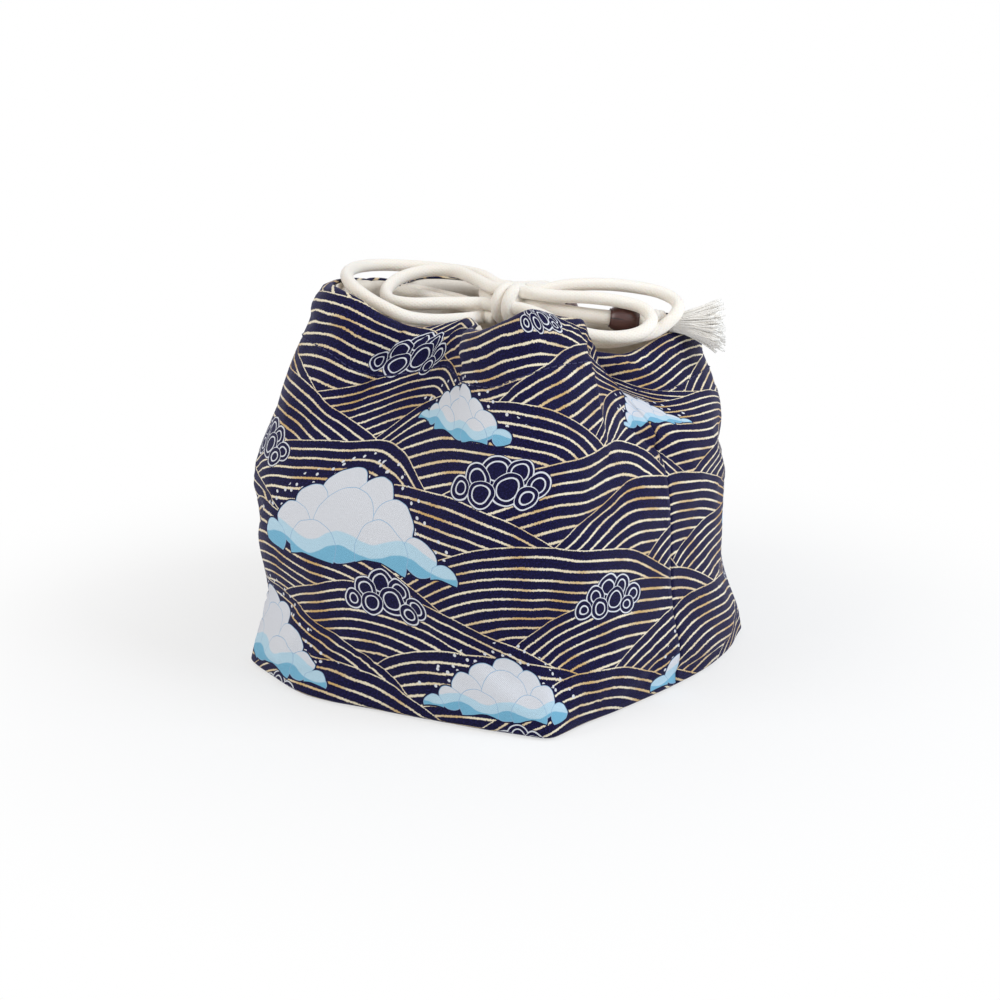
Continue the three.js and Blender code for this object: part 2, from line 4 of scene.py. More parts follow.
import bpy
import numpy as np
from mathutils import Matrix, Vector


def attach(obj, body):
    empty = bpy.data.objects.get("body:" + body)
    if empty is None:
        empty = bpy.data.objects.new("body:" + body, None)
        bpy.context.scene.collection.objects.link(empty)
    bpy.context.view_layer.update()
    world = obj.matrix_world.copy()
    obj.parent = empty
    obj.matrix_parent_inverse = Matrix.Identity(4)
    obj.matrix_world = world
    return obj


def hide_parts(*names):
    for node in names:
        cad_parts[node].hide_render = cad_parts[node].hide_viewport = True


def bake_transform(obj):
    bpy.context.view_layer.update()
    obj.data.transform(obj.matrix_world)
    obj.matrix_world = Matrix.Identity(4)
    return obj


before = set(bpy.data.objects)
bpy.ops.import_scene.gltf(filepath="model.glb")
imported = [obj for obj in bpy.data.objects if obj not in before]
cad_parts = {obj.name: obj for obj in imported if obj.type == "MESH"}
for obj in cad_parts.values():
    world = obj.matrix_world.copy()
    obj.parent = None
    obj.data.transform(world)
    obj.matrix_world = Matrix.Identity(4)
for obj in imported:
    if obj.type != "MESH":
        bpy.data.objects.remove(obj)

MM = 0.001
TURN = 2 * math.pi
TINY = 1e-9
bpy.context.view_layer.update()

# Sizes of the bag, as in the solid model
BASE_WIDTH = 152
BASE_SQUARENESS = 24
BELLY_WIDTH = 166
BELLY_SQUARENESS = 4
BELLY_HEIGHT = 75
SHOULDER_POWER = 1.6
# The foot of the wall bows out between the corners: angle in degrees and how far
FOOT_BOW = np.array([
    (0, 9), (20, 10.5), (31, 8), (43, 1), (68, 5), (90, 7), (112, 5), (135, 1), (158, 5), (180, 7), (202, 5),
    (222, 0), (231, 8), (238, 13), (250, 19), (270, 14), (286, 10), (302, 5.5), (314, 0), (338, 5),
])
BOW_LEVEL = 8
BOW_HEIGHT = 52
# The slack belly leans to the left and the front, most between two heights
BELLY_SHIFT = (-3.5, -2.5)
LEAN_RISES = (10, 60)
LEAN_FALLS = (80, 112)
# The walls are drawn in a little above the base's corners
CORNER_PINCH = 3
CORNER_POWER = 4
PINCH_HEIGHT = 30
PINCH_REACH = 18
# The rim's top edge: angle in degrees, radius and height. The slits are at 0 and 180 degrees
RIM = np.array([
    (0, 57, 135), (22, 65, 138), (45, 75, 140), (68, 58, 139), (90, 42, 138), (112, 54, 140),
    (135, 66, 145.5), (158, 61, 150), (180, 56, 152.5), (203, 63, 157), (225, 70, 159.5), (238, 70, 160),
    (246, 66, 157.5), (253, 58, 151), (259, 46, 146.5), (266, 34, 147), (274, 28, 148.5), (288, 44, 148),
    (298, 60, 151), (306, 66, 156), (314, 68, 160.5), (322, 66, 157), (331, 59, 150), (343, 55, 141),
])

# The cloth as it was cut
CLOTH = 0.7
LINING = 0.5
CLOTH_ROUND = 4 * BASE_WIDTH
CLOTH_HEIGHT = 166
LOBE_SPREAD = 1.3
# Its turns under the foot and over the rim, as flat heights past the wall's ends
FOOT_TURN = (-4.0, -2.0)
RIM_TURN = (0.8, 1.6)
CROWN_RISE = 0.55
FOOT_ROUND = 1.8
FOOT_UNDER = 1.1
FOOT_IN = 0.25
FOOT_UP = 0.42
# The hem: round over the cords in it, and flat below them
HEM_DEPTH = 26
HEM_HALF = 3.2
HEM_FLAT = 0.75
HEM_TOP_SHARE = 0.28
HEM_FADE = 8
# How far the lining lies inside the cloth
LINING_LIFT = 1.6
LINING_BACK = 2.0
LINING_SEAT = 0.4
LINING_FOOT = 2.0
# The slits stand open a little at the top. Reaches along the rim are in columns of the mesh
SLIT_HALF = 0.25
SLIT_REACH = 7
SLIT_FADE = (HEM_DEPTH - 12, HEM_DEPTH - 2)
SEAM_GAP = 0.12
# The right slit is drawn round to the front, and its front edge lies over the back one
SLIT_TURN = math.radians(27)
SLIT_TURN_FROM = 0.7
SLIT_TURN_POWER = 1.3
SLIT_TURN_REACH = 45
SLIT_OVER = 1.0
SLIT_UNDER = 7.0
SLIT_LAP = 5.0
LAP_REACH = 14
LAP_FADE = (HEM_DEPTH - 6, HEM_DEPTH + 10)

# Cords, knots, beads and tassels
CORD = 5.2
BUNDLE = 6.2
CASED_CORD = 4.0
CASED_STOP = 16
UPPER_RUN = 3.9
LOWER_RUN = 10.1
KNOT = np.array([6.0, -3.0, 150.0])
KNOT_LENGTH = 13
KNOT_PITCH = 5.6
KNOT_STRAIGHT = 3
KNOT_HIDDEN = 2.5
GAP = 0.3
BEAD_DIAMETER = 11
BEAD_LENGTH = 12
BEAD_END_SHARE = 0.66
END_KNOT_LENGTH = 9
TASSEL_LENGTH = 21
TASSEL_NECK = 7

# Steps of the meshes
EIGHTH_COLUMNS = 30
COLUMNS = 8 * EIGHTH_COLUMNS
HALF_COLUMNS = COLUMNS // 2
ROWS = 64
LINING_FINE_ROWS = 16
CURVE_STEPS = 24


# Curves and meshes

def smooth_step(value, low, high):
    share = np.clip((value - low) / (high - low), 0, 1)
    return share * share * (3 - 2 * share)


def unit(vectors):
    return vectors / np.maximum(np.linalg.norm(vectors, axis=-1, keepdims=True), TINY)


def hermite(share, start, end, leave, arrive):
    """A curve from start to end, with its slopes there."""
    square, cube = share ** 2, share ** 3
    curve = (2 * cube - 3 * square + 1) * start + (3 * square - 2 * cube) * end
    return curve + (cube - 2 * square + share) * leave + (cube - square) * arrive


def running_length(path):
    """Length along the path up to each of its points."""
    return np.r_[0, np.cumsum(np.linalg.norm(np.diff(path, axis=0), axis=1))]


def resample(path, count):
    """The same path with that many points, evenly spaced."""
    lengths = running_length(path)
    places = np.linspace(0, lengths[-1], count)
    return np.stack([np.interp(places, lengths, path[:, axis]) for axis in range(3)], axis=1)


def even_steps(path, step):
    return resample(path, max(2, round(running_length(path)[-1] / step) + 1))


def smooth_curve(points, step=1.0):
    """Centripetal Catmull-Rom curve through the points, in even steps."""
    points = np.asarray(points, float)
    ends = np.vstack([2 * points[0] - points[1], points, 2 * points[-1] - points[-2]])
    fine = []
    for i in range(len(points) - 1):
        p0, p1, p2, p3 = ends[i:i + 4]
        d0, d1, d2 = (np.linalg.norm(b - a) ** 0.5 for a, b in ((p0, p1), (p1, p2), (p2, p3)))
        leave = ((p1 - p0) / d0 - (p2 - p0) / (d0 + d1) + (p2 - p1) / d1) * d1
        arrive = ((p2 - p1) / d1 - (p3 - p1) / (d1 + d2) + (p3 - p2) / d2) * d1
        shares = np.linspace(0, 1, CURVE_STEPS, endpoint=False)
        fine += [hermite(share, p1, p2, leave, arrive) for share in shares]
    return even_steps(np.array(fine + [points[-1]]), step)


def grid_faces(rows, columns, ring_rows=False, ring_columns=False):
    """Faces between the points of a grid, which may close to a ring either way."""
    faces = []
    for j in range(rows if ring_rows else rows - 1):
        here, after = j * columns, (j + 1) % rows * columns
        for i in range(columns if ring_columns else columns - 1):
            beside = (i + 1) % columns
            faces.append((here + i, here + beside, after + beside, after + i))
    return faces


def make_object(name, vertices, faces, uvs=None):
    """A smooth mesh from points in millimetres, with a UV place for each of them."""
    mesh = bpy.data.meshes.new(name)
    mesh.from_pydata((np.asarray(vertices) * MM).tolist(), [], faces)
    if uvs is not None:
        layer = mesh.uv_layers.new(name="flat_cloth")
        loops = np.zeros(len(mesh.loops), int)
        mesh.loops.foreach_get("vertex_index", loops)
        layer.data.foreach_set("uv", (np.asarray(uvs)[loops] * MM).astype(np.float32).ravel())
    mesh.polygons.foreach_set("use_smooth", [True] * len(mesh.polygons))
    mesh.validate()
    mesh.update()
    obj = bpy.data.objects.new(name, mesh)
    bpy.context.collection.objects.link(obj)
    return obj


def thicken(obj, thickness):
    """Give a sheet its thickness, on the side away from its normals."""
    solid = obj.modifiers.new("thickness", "SOLIDIFY")
    solid.thickness = thickness * MM
    solid.offset = -1
    bpy.context.view_layer.objects.active = obj
    bpy.ops.object.modifier_apply(modifier=solid.name)


def path_frames(path):
    """Two directions square to the path at each of its points, without twist."""
    tangents = unit(np.gradient(path, axis=0))
    side = np.cross(tangents[0], [0.0, 0.0, 1.0])
    if np.linalg.norm(side) < 0.2:
        side = np.cross(tangents[0], [0.0, 1.0, 0.0])
    sides = []
    for tangent in tangents:
        side = unit(side - tangent * side.dot(tangent))
        sides.append(side)
    sides = np.array(sides)
    return sides, np.cross(tangents, sides)


def even_turns(count):
    return np.linspace(0, TURN, count, endpoint=False)


def spokes(turns, side, other):
    """Directions at angles between two that are square to each other."""
    return np.cos(turns)[:, None] * side + np.sin(turns)[:, None] * other


def tube_mesh(path, radius, sides, closed=False):
    """Vertices, faces and UVs of a tube with flat ends, or of a closed ring."""
    path = np.asarray(path, float)
    steps = len(path)
    turns = even_turns(sides)
    rings = [spokes(turns, *frame_here) for frame_here in zip(*path_frames(path))]
    vertices = (path[:, None] + np.array(rings) * radius).reshape(-1, 3)
    lengths = running_length(path)
    uvs = np.stack(np.broadcast_arrays(turns[None] * radius, lengths[:, None]), -1).reshape(-1, 2)
    faces = grid_faces(steps, sides, closed, True)
    if not closed:
        faces.append(tuple(reversed(range(sides))))
        faces.append(tuple(range((steps - 1) * sides, steps * sides)))
    return vertices, faces, uvs


def join_meshes(parts):
    """One set of vertices, faces and UVs from several."""
    vertices, faces, uvs, first = [], [], [], 0
    for part_vertices, part_faces, part_uvs in parts:
        vertices.append(part_vertices)
        uvs.append(part_uvs)
        faces += [tuple(first + k for k in face) for face in part_faces]
        first += len(part_vertices)
    return np.vstack(vertices), faces, np.vstack(uvs)


def place(obj, body, material, nodes=()):
    """Material and body of a finished piece, and the nodes that it stands for."""
    obj.data.materials.append(material)
    if nodes:
        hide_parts(*nodes)
    if body:
        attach(obj, body)
    return obj


# Helpers for the materials

def sum_with(operation):
    return lambda value, other: value.nodes.math(operation, value, other)


class Value:
    """What a node gives out, for sums with numbers and with other values."""

    __add__ = sum_with("ADD")
    __sub__ = sum_with("SUBTRACT")
    __mul__ = sum_with("MULTIPLY")
    __truediv__ = sum_with("DIVIDE")
    __gt__ = sum_with("GREATER_THAN")
    __lt__ = sum_with("LESS_THAN")

    def __init__(self, nodes, socket):
        self.nodes = nodes
        self.socket = socket

    def __rsub__(self, other):
        return self.nodes.math("SUBTRACT", other, self)

    def times_plus(self, factor, start):
        return self.nodes.math("MULTIPLY_ADD", self, factor, start)

    def about(self, size, middle=0.0):
        """A share from 0 to 1, spread over a size about a middle."""
        return self.times_plus(size, middle - size / 2)


class Nodes:
    """Short calls that add shader nodes to a material or a world."""

    def __init__(self, owner):
        owner.use_nodes = True
        self.owner = owner
        self.tree = owner.node_tree

    def put(self, socket, value):
        if isinstance(value, Value):
            self.tree.links.new(value.socket, socket)
        else:
            socket.default_value = value

    def add(self, kind, inputs=(), **settings):
        """A new node, with inputs by name or number."""
        node = self.tree.nodes.new("ShaderNode" + kind)
        for key, value in settings.items():
            setattr(node, key, value)
        for key, value in dict(inputs).items():
            self.put(node.inputs[key], value)
        return node

    def value(self, kind, inputs=(), output=0, **settings):
        """One output of a new node."""
        return Value(self, self.add(kind, inputs, **settings).outputs[output])

    def math(self, operation, *values):
        return self.value("Math", enumerate(values), operation=operation)

    def vector(self, operation, *values):
        output = "Value" if operation in ("LENGTH", "DISTANCE") else "Vector"
        return self.value("VectorMath", enumerate(values), output, operation=operation)

    def scaled(self, vector, scale):
        return self.value("VectorMath", {0: vector, "Scale": scale}, operation="SCALE")

    def combine(self, *values):
        return self.value("CombineXYZ", enumerate(values))

    def split(self, vector):
        return [Value(self, socket) for socket in self.add("SeparateXYZ", {0: vector}).outputs]

    def soft(self, value, low, high):
        """0 on low's side, 1 on high's side, and smooth between."""
        return self.value("MapRange", enumerate((value, low, high)), interpolation_type="SMOOTHSTEP")

    def mix(self, share, a, b):
        """A colour between two colours."""
        return self.value("Mix", {0: share, 6: a, 7: b}, 2, data_type="RGBA")

    def blend(self, share, a, b):
        """A number between two numbers."""
        return self.value("Mix", {0: share, 2: a, 3: b}, data_type="FLOAT")

    def noise(self, vector, scale, detail, output=0):
        return self.value("TexNoise", {"Vector": vector, "Scale": scale, "Detail": detail}, output)

    def strayed(self, vector, scale, size):
        """A place moved about by a slow noise."""
        stray = self.vector("SUBTRACT", self.noise(vector, scale, 1.0, "Color"), (0.5, 0.5, 0.5))
        return self.vector("ADD", vector, self.scaled(stray, size))

    def chance(self, x, y):
        """Three random numbers that belong to a cell."""
        inputs = {"Vector": self.combine(x, y)}
        return self.split(self.value("TexWhiteNoise", inputs, "Color", noise_dimensions="2D"))


class Paint(Nodes):
    """The nodes of a new material with one main shader."""

    def __init__(self, name):
        super().__init__(bpy.data.materials.new(name))
        self.tree.nodes.clear()
        self.shader = self.add("BsdfPrincipled")
        self.surface = Value(self, self.shader.outputs[0])
        self.output = self.add("OutputMaterial", {"Surface": self.surface})

    def flat_place(self):
        """The place on the flat cloth, in millimetres."""
        return self.scaled(self.value("UVMap", uv_map="flat_cloth"), 1 / MM)

    def bump(self, height, strength, depth):
        """Relief of a depth in millimetres."""
        inputs = {"Height": height, "Strength": strength, "Distance": depth * MM}
        self.put(self.shader.inputs["Normal"], self.value("Bump", inputs))

    def set(self, **values):
        for key, value in values.items():
            self.put(self.shader.inputs[key.replace("_", " ")], value)


def srgb(red, green, blue):
    """A linear colour from 8-bit display values."""
    def linear(value):
        value /= 255
        return value / 12.92 if value <= 0.04045 else ((value + 0.055) / 1.055) ** 2.4
    return (linear(red), linear(green), linear(blue), 1.0)


# Printed cloth: gold combed hills on navy, with white clouds and small outlined ones

NAVY = srgb(15, 12, 35)
NAVY_LIGHT = srgb(36, 34, 82)
GOLD = srgb(208, 172, 112)
GOLD_PALE = srgb(240, 229, 202)
WHITE_INK = srgb(219, 221, 226)
PALE_INK = srgb(186, 216, 231)
BLUE_INK = srgb(122, 182, 210)
INNER_INK = srgb(150, 184, 212)
# Hills stand in staggered rows, and chance moves, lifts, widens and leans them
HILL_WIDTH = 118
HILL_HALF = 68
HILL_HEIGHT = 26
HILL_ROW = 19
HILL_STAGGER = HILL_WIDTH / 2 + 11
HILL_STRAY = 24
HILL_LIFT = 10
HILL_WIDER = 16
HILL_SKEW = 0.5
LINE_PITCH = 4.4
LINE_WIDTH = 0.9
LINE_ROUGH = 1.2
LINE_SOFT = 0.12
# Clouds stand in staggered rows on the flat cloth, each somewhere in its cell, and some cells are empty
CLOUD_CELL = CLOTH_ROUND / 5
CLOUD_ROW = 56
CLOUD_ROWS = 3
CLOUD_STAGGER = CLOUD_CELL * 0.41
CLOUD_WIDTH = 42
CLOUD_WIDER = 60
CLOUD_WIDTH_POWER = 1.5
CELL_SHIFT = -34
CLOUD_PLACE = {"offset": (CELL_SHIFT, -6, 0), "stray": 20, "lift": 8, "middle": 8}
CELL_SEED = (2.1, 8.6)
EMPTY_SHARE = 0.3
OUTSIDE = -9.0
FAR_UP = 900.0
PUFF_EDGE = 0.6
INK_SOFT = 0.1
INNER_LINE = (0.32, 0.18)
# Round puffs of a cloud from the back to the front, as shares of its width: across, up and radius
PUFFS = (
    (0.10, 0.29, 0.11), (-0.06, 0.25, 0.10), (0.24, 0.23, 0.09), (-0.19, 0.17, 0.10), (0.33, 0.13, 0.10),
    (0.06, 0.15, 0.16), (-0.31, 0.08, 0.08), (0.45, 0.04, 0.07), (-0.42, 0.02, 0.06), (-0.13, 0.05, 0.13),
    (0.22, 0.04, 0.13),
)
# The wavy foot of a cloud and the heights of the two blue bands along it, as shares of its width
SWELL_TURNS = 19.0
SWELL = 0.014
BAND_SWELL = -1.6
BLUE_BANDS = ((0.105, PALE_INK), (0.045, BLUE_INK))
BAND_SOFT = 0.004
# White specks round the upper part of a cloud
SPECK_SCALE = 0.22
SPECK_SIZE = 0.15
SPECK_REACH = 7.0
SPECK_FROM = 0.12
# Small motifs in white line, each a heap of ringed circles, given as for the clouds
CURLS = (
    (-0.05, 0.27, 0.13), (0.14, 0.23, 0.12), (-0.22, 0.20, 0.12), (0.31, 0.11, 0.11), (-0.38, 0.08, 0.10),
    (0.05, 0.11, 0.14), (-0.17, 0.06, 0.12), (0.22, 0.02, 0.10),
)
CURL_SHIFT = CELL_SHIFT + CLOUD_CELL * 0.52
CURL_PLACE = {"offset": (CURL_SHIFT, 14, 0), "stray": 24, "lift": 20, "middle": 22}
CURL_WIDTH = 28
CURL_WIDER = 18
CURL_PITCH = 2.0
CURL_LINE = 0.3
BARE_SHARE = 0.3


def hill_depth(mat, x, y):
    """How far a point lies below the top line of its hill. Lower rows cover the higher ones."""
    lowest = mat.math("CEIL", (y - (HILL_HEIGHT + HILL_LIFT / 2 + HILL_ROW / 2)) / HILL_ROW) + 0.5
    depth = LINE_PITCH / 2
    for above in (3, 2, 1, 0):
        row = lowest + above
        shift = row * HILL_STAGGER
        cell = mat.math("FLOOR", (x - shift) / HILL_WIDTH)
        for beside in (1, 0):
            column = cell + beside
            stray, lift, wider = mat.chance(column, row)
            middle = column.times_plus(HILL_WIDTH, shift) + stray.about(HILL_STRAY)
            foot = row * HILL_ROW + lift.about(HILL_LIFT)
            across = (x - middle) / wider.about(HILL_WIDER, HILL_HALF)
            across = across * mat.math("SIGN", across).times_plus(stray.about(HILL_SKEW), 1.0)
            crest = 1.0 - across * across
            below = crest.times_plus(HILL_HEIGHT, foot) - y
            depth = mat.blend(below > 0.0, depth, below)
    return depth


def print_cell(mat, spot, offset, stray, lift, middle):
    """Random numbers of a point's cell, and the point's place from the foot of the motif there."""
    x, y, _ = mat.split(mat.vector("SUBTRACT", spot, offset))
    row = mat.math("FLOOR", y / CLOUD_ROW)
    x = x - row * CLOUD_STAGGER
    column = mat.math("FLOOR", x / CLOUD_CELL)
    chances = mat.chance(column + CELL_SEED[0], row + CELL_SEED[1])
    y = y + (row > CLOUD_ROWS - 0.5) * FAR_UP
    across = x - (column + 0.5) * CLOUD_CELL + chances[1].about(stray)
    return chances, across, y - row * CLOUD_ROW - chances[2].about(lift, middle)


def puff_depths(mat, local, puffs):
    """How deep a point is in a group of circles, and in the front one of them that it is on."""
    whole, front = OUTSIDE, OUTSIDE
    for across, up, radius in puffs:
        inside = radius - mat.vector("DISTANCE", local, (across, up, 0))
        front = mat.blend(inside > mat.math("MINIMUM", front, 0.0), front, inside)
        whole = mat.math("MAXIMUM", whole, inside)
    return whole, front


def cloud_ink(mat, spot):
    """How deep a point is in a cloud and in its front puff, and its height as a share of the width."""
    chances, across, up = print_cell(mat, spot, **CLOUD_PLACE)
    width = mat.math("POWER", chances[0], CLOUD_WIDTH_POWER).times_plus(CLOUD_WIDER, CLOUD_WIDTH)
    turned = (chances[1] > 0.5).about(2.0)
    local = mat.combine(across * turned / width, up / width)
    x, height, _ = mat.split(local)
    whole, front = puff_depths(mat, local, PUFFS)
    swell = mat.math("SINE", x * SWELL_TURNS) * SWELL
    whole = mat.math("MINIMUM", whole, height + swell)
    whole = mat.blend(chances[2] > EMPTY_SHARE, OUTSIDE, whole)
    return whole * width, front * width, height + swell * BAND_SWELL


def curl_ink(mat, spot):
    """Line work of the small motifs, and the ground that they cover."""
    chances, across, up = print_cell(mat, spot, **CURL_PLACE)
    width = chances[0].times_plus(CURL_WIDER, CURL_WIDTH)
    whole, front = puff_depths(mat, mat.combine(across / width, up / width), CURLS)
    whole, front = whole * width, front * width
    line = mat.math("PINGPONG", mat.math("ABSOLUTE", front), CURL_PITCH / 2) < CURL_LINE
    line = line * (front < CURL_PITCH * 1.5)
    ground = (whole > -PUFF_EDGE) * (chances[0] > BARE_SHARE)
    return line * ground, ground


def weave_height(mat, spot, pitch):
    """Height of a plain weave with the threads at that pitch, a little uneven."""
    x, y, _ = mat.split(spot)
    turn = TURN / 2 / pitch
    return mat.math("SINE", x * turn) * mat.math("SINE", y * turn) + mat.noise(spot, 1.2, 3.0)


def printed_cloth():
    mat = Paint("printed_cloth")
    spot = mat.flat_place()
    x, y, _ = mat.split(mat.strayed(spot, scale=0.016, size=13.0))
    grain = mat.noise(spot, 1.5, 3.0)
    off_line = mat.math("PINGPONG", hill_depth(mat, x, y), LINE_PITCH / 2) + grain.about(LINE_ROUGH)
    lines = 1.0 - mat.soft(off_line, LINE_WIDTH / 2 - LINE_SOFT, LINE_WIDTH / 2 + LINE_SOFT)
    wear = mat.soft(mat.noise(spot, 0.05, 2.0), 0.3, 0.6)
    gold = mat.mix(wear, GOLD, GOLD_PALE)
    navy = mat.mix(mat.soft(grain, 0.4, 0.75), NAVY, NAVY_LIGHT)
    colour = mat.mix(lines, navy, gold)
    drawn = mat.strayed(spot, scale=0.1, size=2.4)
    line, ground = curl_ink(mat, drawn)
    colour = mat.mix(ground, colour, navy)
    colour = mat.mix(line, colour, WHITE_INK)
    cloud, front, height = cloud_ink(mat, drawn)
    inputs = {"Vector": spot, "Scale": SPECK_SCALE}
    speck = mat.value("TexVoronoi", inputs, "Distance", voronoi_dimensions="2D") < SPECK_SIZE
    near = (cloud > -SPECK_REACH) * (height > SPECK_FROM)
    colour = mat.mix(speck * near, colour, WHITE_INK)
    colour = mat.mix(mat.soft(cloud, -PUFF_EDGE - INK_SOFT, -PUFF_EDGE + INK_SOFT), colour, navy)
    ink = WHITE_INK
    for band, band_ink in BLUE_BANDS:
        ink = mat.mix(mat.soft(height, band + BAND_SOFT, band - BAND_SOFT), ink, band_ink)
    ink = mat.mix(mat.soft(mat.math("ABSOLUTE", front), *INNER_LINE), ink, INNER_INK)
    colour = mat.mix(mat.soft(cloud, -INK_SOFT, INK_SOFT), colour, ink)
    mat.set(Base_Color=colour, Roughness=0.6, Sheen_Weight=0.12, Sheen_Roughness=0.3)
    mat.set(Specular_IOR_Level=0.16, Specular_Tint=(0.4, 0.45, 1, 1), Sheen_Tint=(0.42, 0.42, 1, 1))
    mat.bump(weave_height(mat, spot, pitch=0.5), strength=0.35, depth=0.2)
    return mat.owner


def lining_cloth():
    mat = Paint("lining_cloth")
    spot = mat.flat_place()
    colour = mat.mix(mat.noise(spot, 0.7, 3.0), srgb(234, 222, 206), srgb(246, 238, 226))
    mat.set(Base_Color=colour, Roughness=0.85, Sheen_Weight=0.2)
    mat.bump(weave_height(mat, spot, pitch=0.4), strength=0.4, depth=0.2)
    return mat.owner


YARN_PITCH = 1.5
YARN_SLANT = 0.8


def cotton_cord(name, groove_shade, yarn, scatter, sheen):
    """Soft cotton: slanted yarns that cross, painted shade in the grooves between them, and light that
    spreads inside.
    """
    mat = Paint(name)
    spot = mat.flat_place()
    x, y, _ = mat.split(spot)
    slanted = (x + y * YARN_SLANT, x - y * YARN_SLANT)
    yarns = [mat.math("SINE", way * (TURN / YARN_PITCH)) for way in slanted]
    yarns = mat.math("MAXIMUM", *yarns).times_plus(0.5, 0.5)
    fuzz = mat.noise(spot, 2.5, 4.0)
    # Painted shade: the low parts between the yarns take the darker colour
    colour = mat.mix(yarns.times_plus(0.6, fuzz * 0.4), groove_shade, yarn)
    mat.set(Base_Color=colour, Roughness=0.85, Sheen_Weight=sheen, Sheen_Roughness=0.6)
    mat.set(Subsurface_Weight=scatter, Subsurface_Scale=0.003, Subsurface_Radius=(1.0, 0.7, 0.5))
    mat.bump(yarns + fuzz, strength=0.3, depth=0.3)
    return mat.owner


def dark_wood():
    """Dark rosewood: fine grain along the bead, a few darker veins and a thin wax polish."""
    mat = Paint("dark_wood")
    x, y, _ = mat.split(mat.flat_place())
    fine = mat.noise(mat.combine(x * 2.2, y * 0.35), 1.0, 4.0)
    veins = mat.noise(mat.combine(x * 0.55, y * 0.09), 1.0, 2.0)
    colour = mat.mix(fine, srgb(44, 23, 24), srgb(104, 62, 56))
    colour = mat.mix(mat.soft(veins, 0.55, 0.7), colour, srgb(34, 17, 18))
    mat.set(Base_Color=colour, Roughness=mat.blend(fine, 0.3, 0.48))
    mat.set(Coat_Weight=0.3, Coat_Roughness=0.22)
    mat.bump(fine, strength=0.12, depth=0.3)
    return mat.owner


def navy_thread():
    mat = Paint("navy_thread")
    spot = mat.value("TexCoord", output="Object")
    colour = mat.mix(mat.noise(spot, 2500, 2.0), srgb(30, 29, 62), srgb(56, 56, 104))
    mat.set(Base_Color=colour, Roughness=0.7)
    return mat.owner


PRINTED = printed_cloth()
LINED = lining_cloth()
# The first colour of each is the yarn's colour darkened as painted shade for the grooves
COTTON = cotton_cord("cotton_cord", srgb(246, 235, 222), srgb(252, 246, 236), scatter=0.2, sheen=0.4)
THREADS = cotton_cord("cotton_threads", srgb(253, 247, 238), srgb(255, 253, 248), scatter=0.0, sheen=0.9)
WOOD = dark_wood()
THREAD = navy_thread()


# Shape of the bag

def square_radius(angle, width, squareness):
    across = np.abs(np.cos(angle) / (width / 2)) ** squareness
    along = np.abs(np.sin(angle) / (width / 2)) ** squareness
    return (across + along) ** (-1 / squareness)


def round_keys(angle, table, column=1):
    """A smooth curve round the bag through keys at rising angles, the first at 0."""
    degrees, keys = table[:, 0], table[:, column]
    turns = np.radians(np.r_[degrees[-1] - 360, degrees, 360, degrees[1] + 360])
    keys = np.r_[keys[-1], keys, keys[0], keys[1]]
    slopes = np.gradient(keys, turns)
    places = np.mod(angle, TURN)
    index = np.clip(np.searchsorted(turns, places, side="right") - 1, 0, len(turns) - 2)
    after = index + 1
    step = turns[after] - turns[index]
    share = (places - turns[index]) / step
    return hermite(share, keys[index], keys[after], step * slopes[index], step * slopes[after])


def rim_at(angle):
    """Radius and height of the rim's top edge."""
    return round_keys(angle, RIM, 1), round_keys(angle, RIM, 2)


def wall_radius(angle, height):
    base = square_radius(angle, BASE_WIDTH, BASE_SQUARENESS)
    belly = square_radius(angle, BELLY_WIDTH, BELLY_SQUARENESS)
    rim_radius, rim_height = rim_at(angle)
    rise = np.sin(np.pi / 2 * np.clip(height / BELLY_HEIGHT, 0, 1))
    share = np.clip((height - BELLY_HEIGHT) / (rim_height - BELLY_HEIGHT), 0, 1)
    base = base + round_keys(angle, FOOT_BOW) * (1 - smooth_step(height, BOW_LEVEL, BOW_HEIGHT))
    corner = np.abs(np.sin(2 * angle)) ** CORNER_POWER
    pinch = CORNER_PINCH * corner * np.exp(-(((height - PINCH_HEIGHT) / PINCH_REACH) ** 2))
    lower = base + (belly - base) * rise - pinch
    upper = belly + (rim_radius - belly) * share ** SHOULDER_POWER
    return np.where(height < BELLY_HEIGHT, lower, upper)


def column_angles():
    """Angle of each column of cloth at the foot and at the rim, where the valleys take up its fullness."""
    foot, rim = [], []
    offsets = np.arange(EIGHTH_COLUMNS) / EIGHTH_COLUMNS
    for eighth in range(8):
        start = eighth * TURN / 8
        fine = np.linspace(start, start + TURN / 8, 200)
        radius, height = rim_at(np.minimum(fine, start + TURN / 8 - TINY))
        lengths = running_length(np.stack([radius * np.cos(fine), radius * np.sin(fine), height], axis=1))
        from_valley = eighth % 2 == 0
        from_lobe = 1 - offsets if from_valley else offsets
        spread = LOBE_SPREAD * from_lobe - (LOBE_SPREAD - 1) * from_lobe ** 3
        share = 1 - spread if from_valley else spread
        rim.append(np.interp(share * lengths[-1], lengths, fine))
        slope = np.arctan(offsets if from_valley else 1 - offsets)
        foot.append(start + (slope if from_valley else TURN / 8 - slope))
    return np.concatenate(foot), np.concatenate(rim)


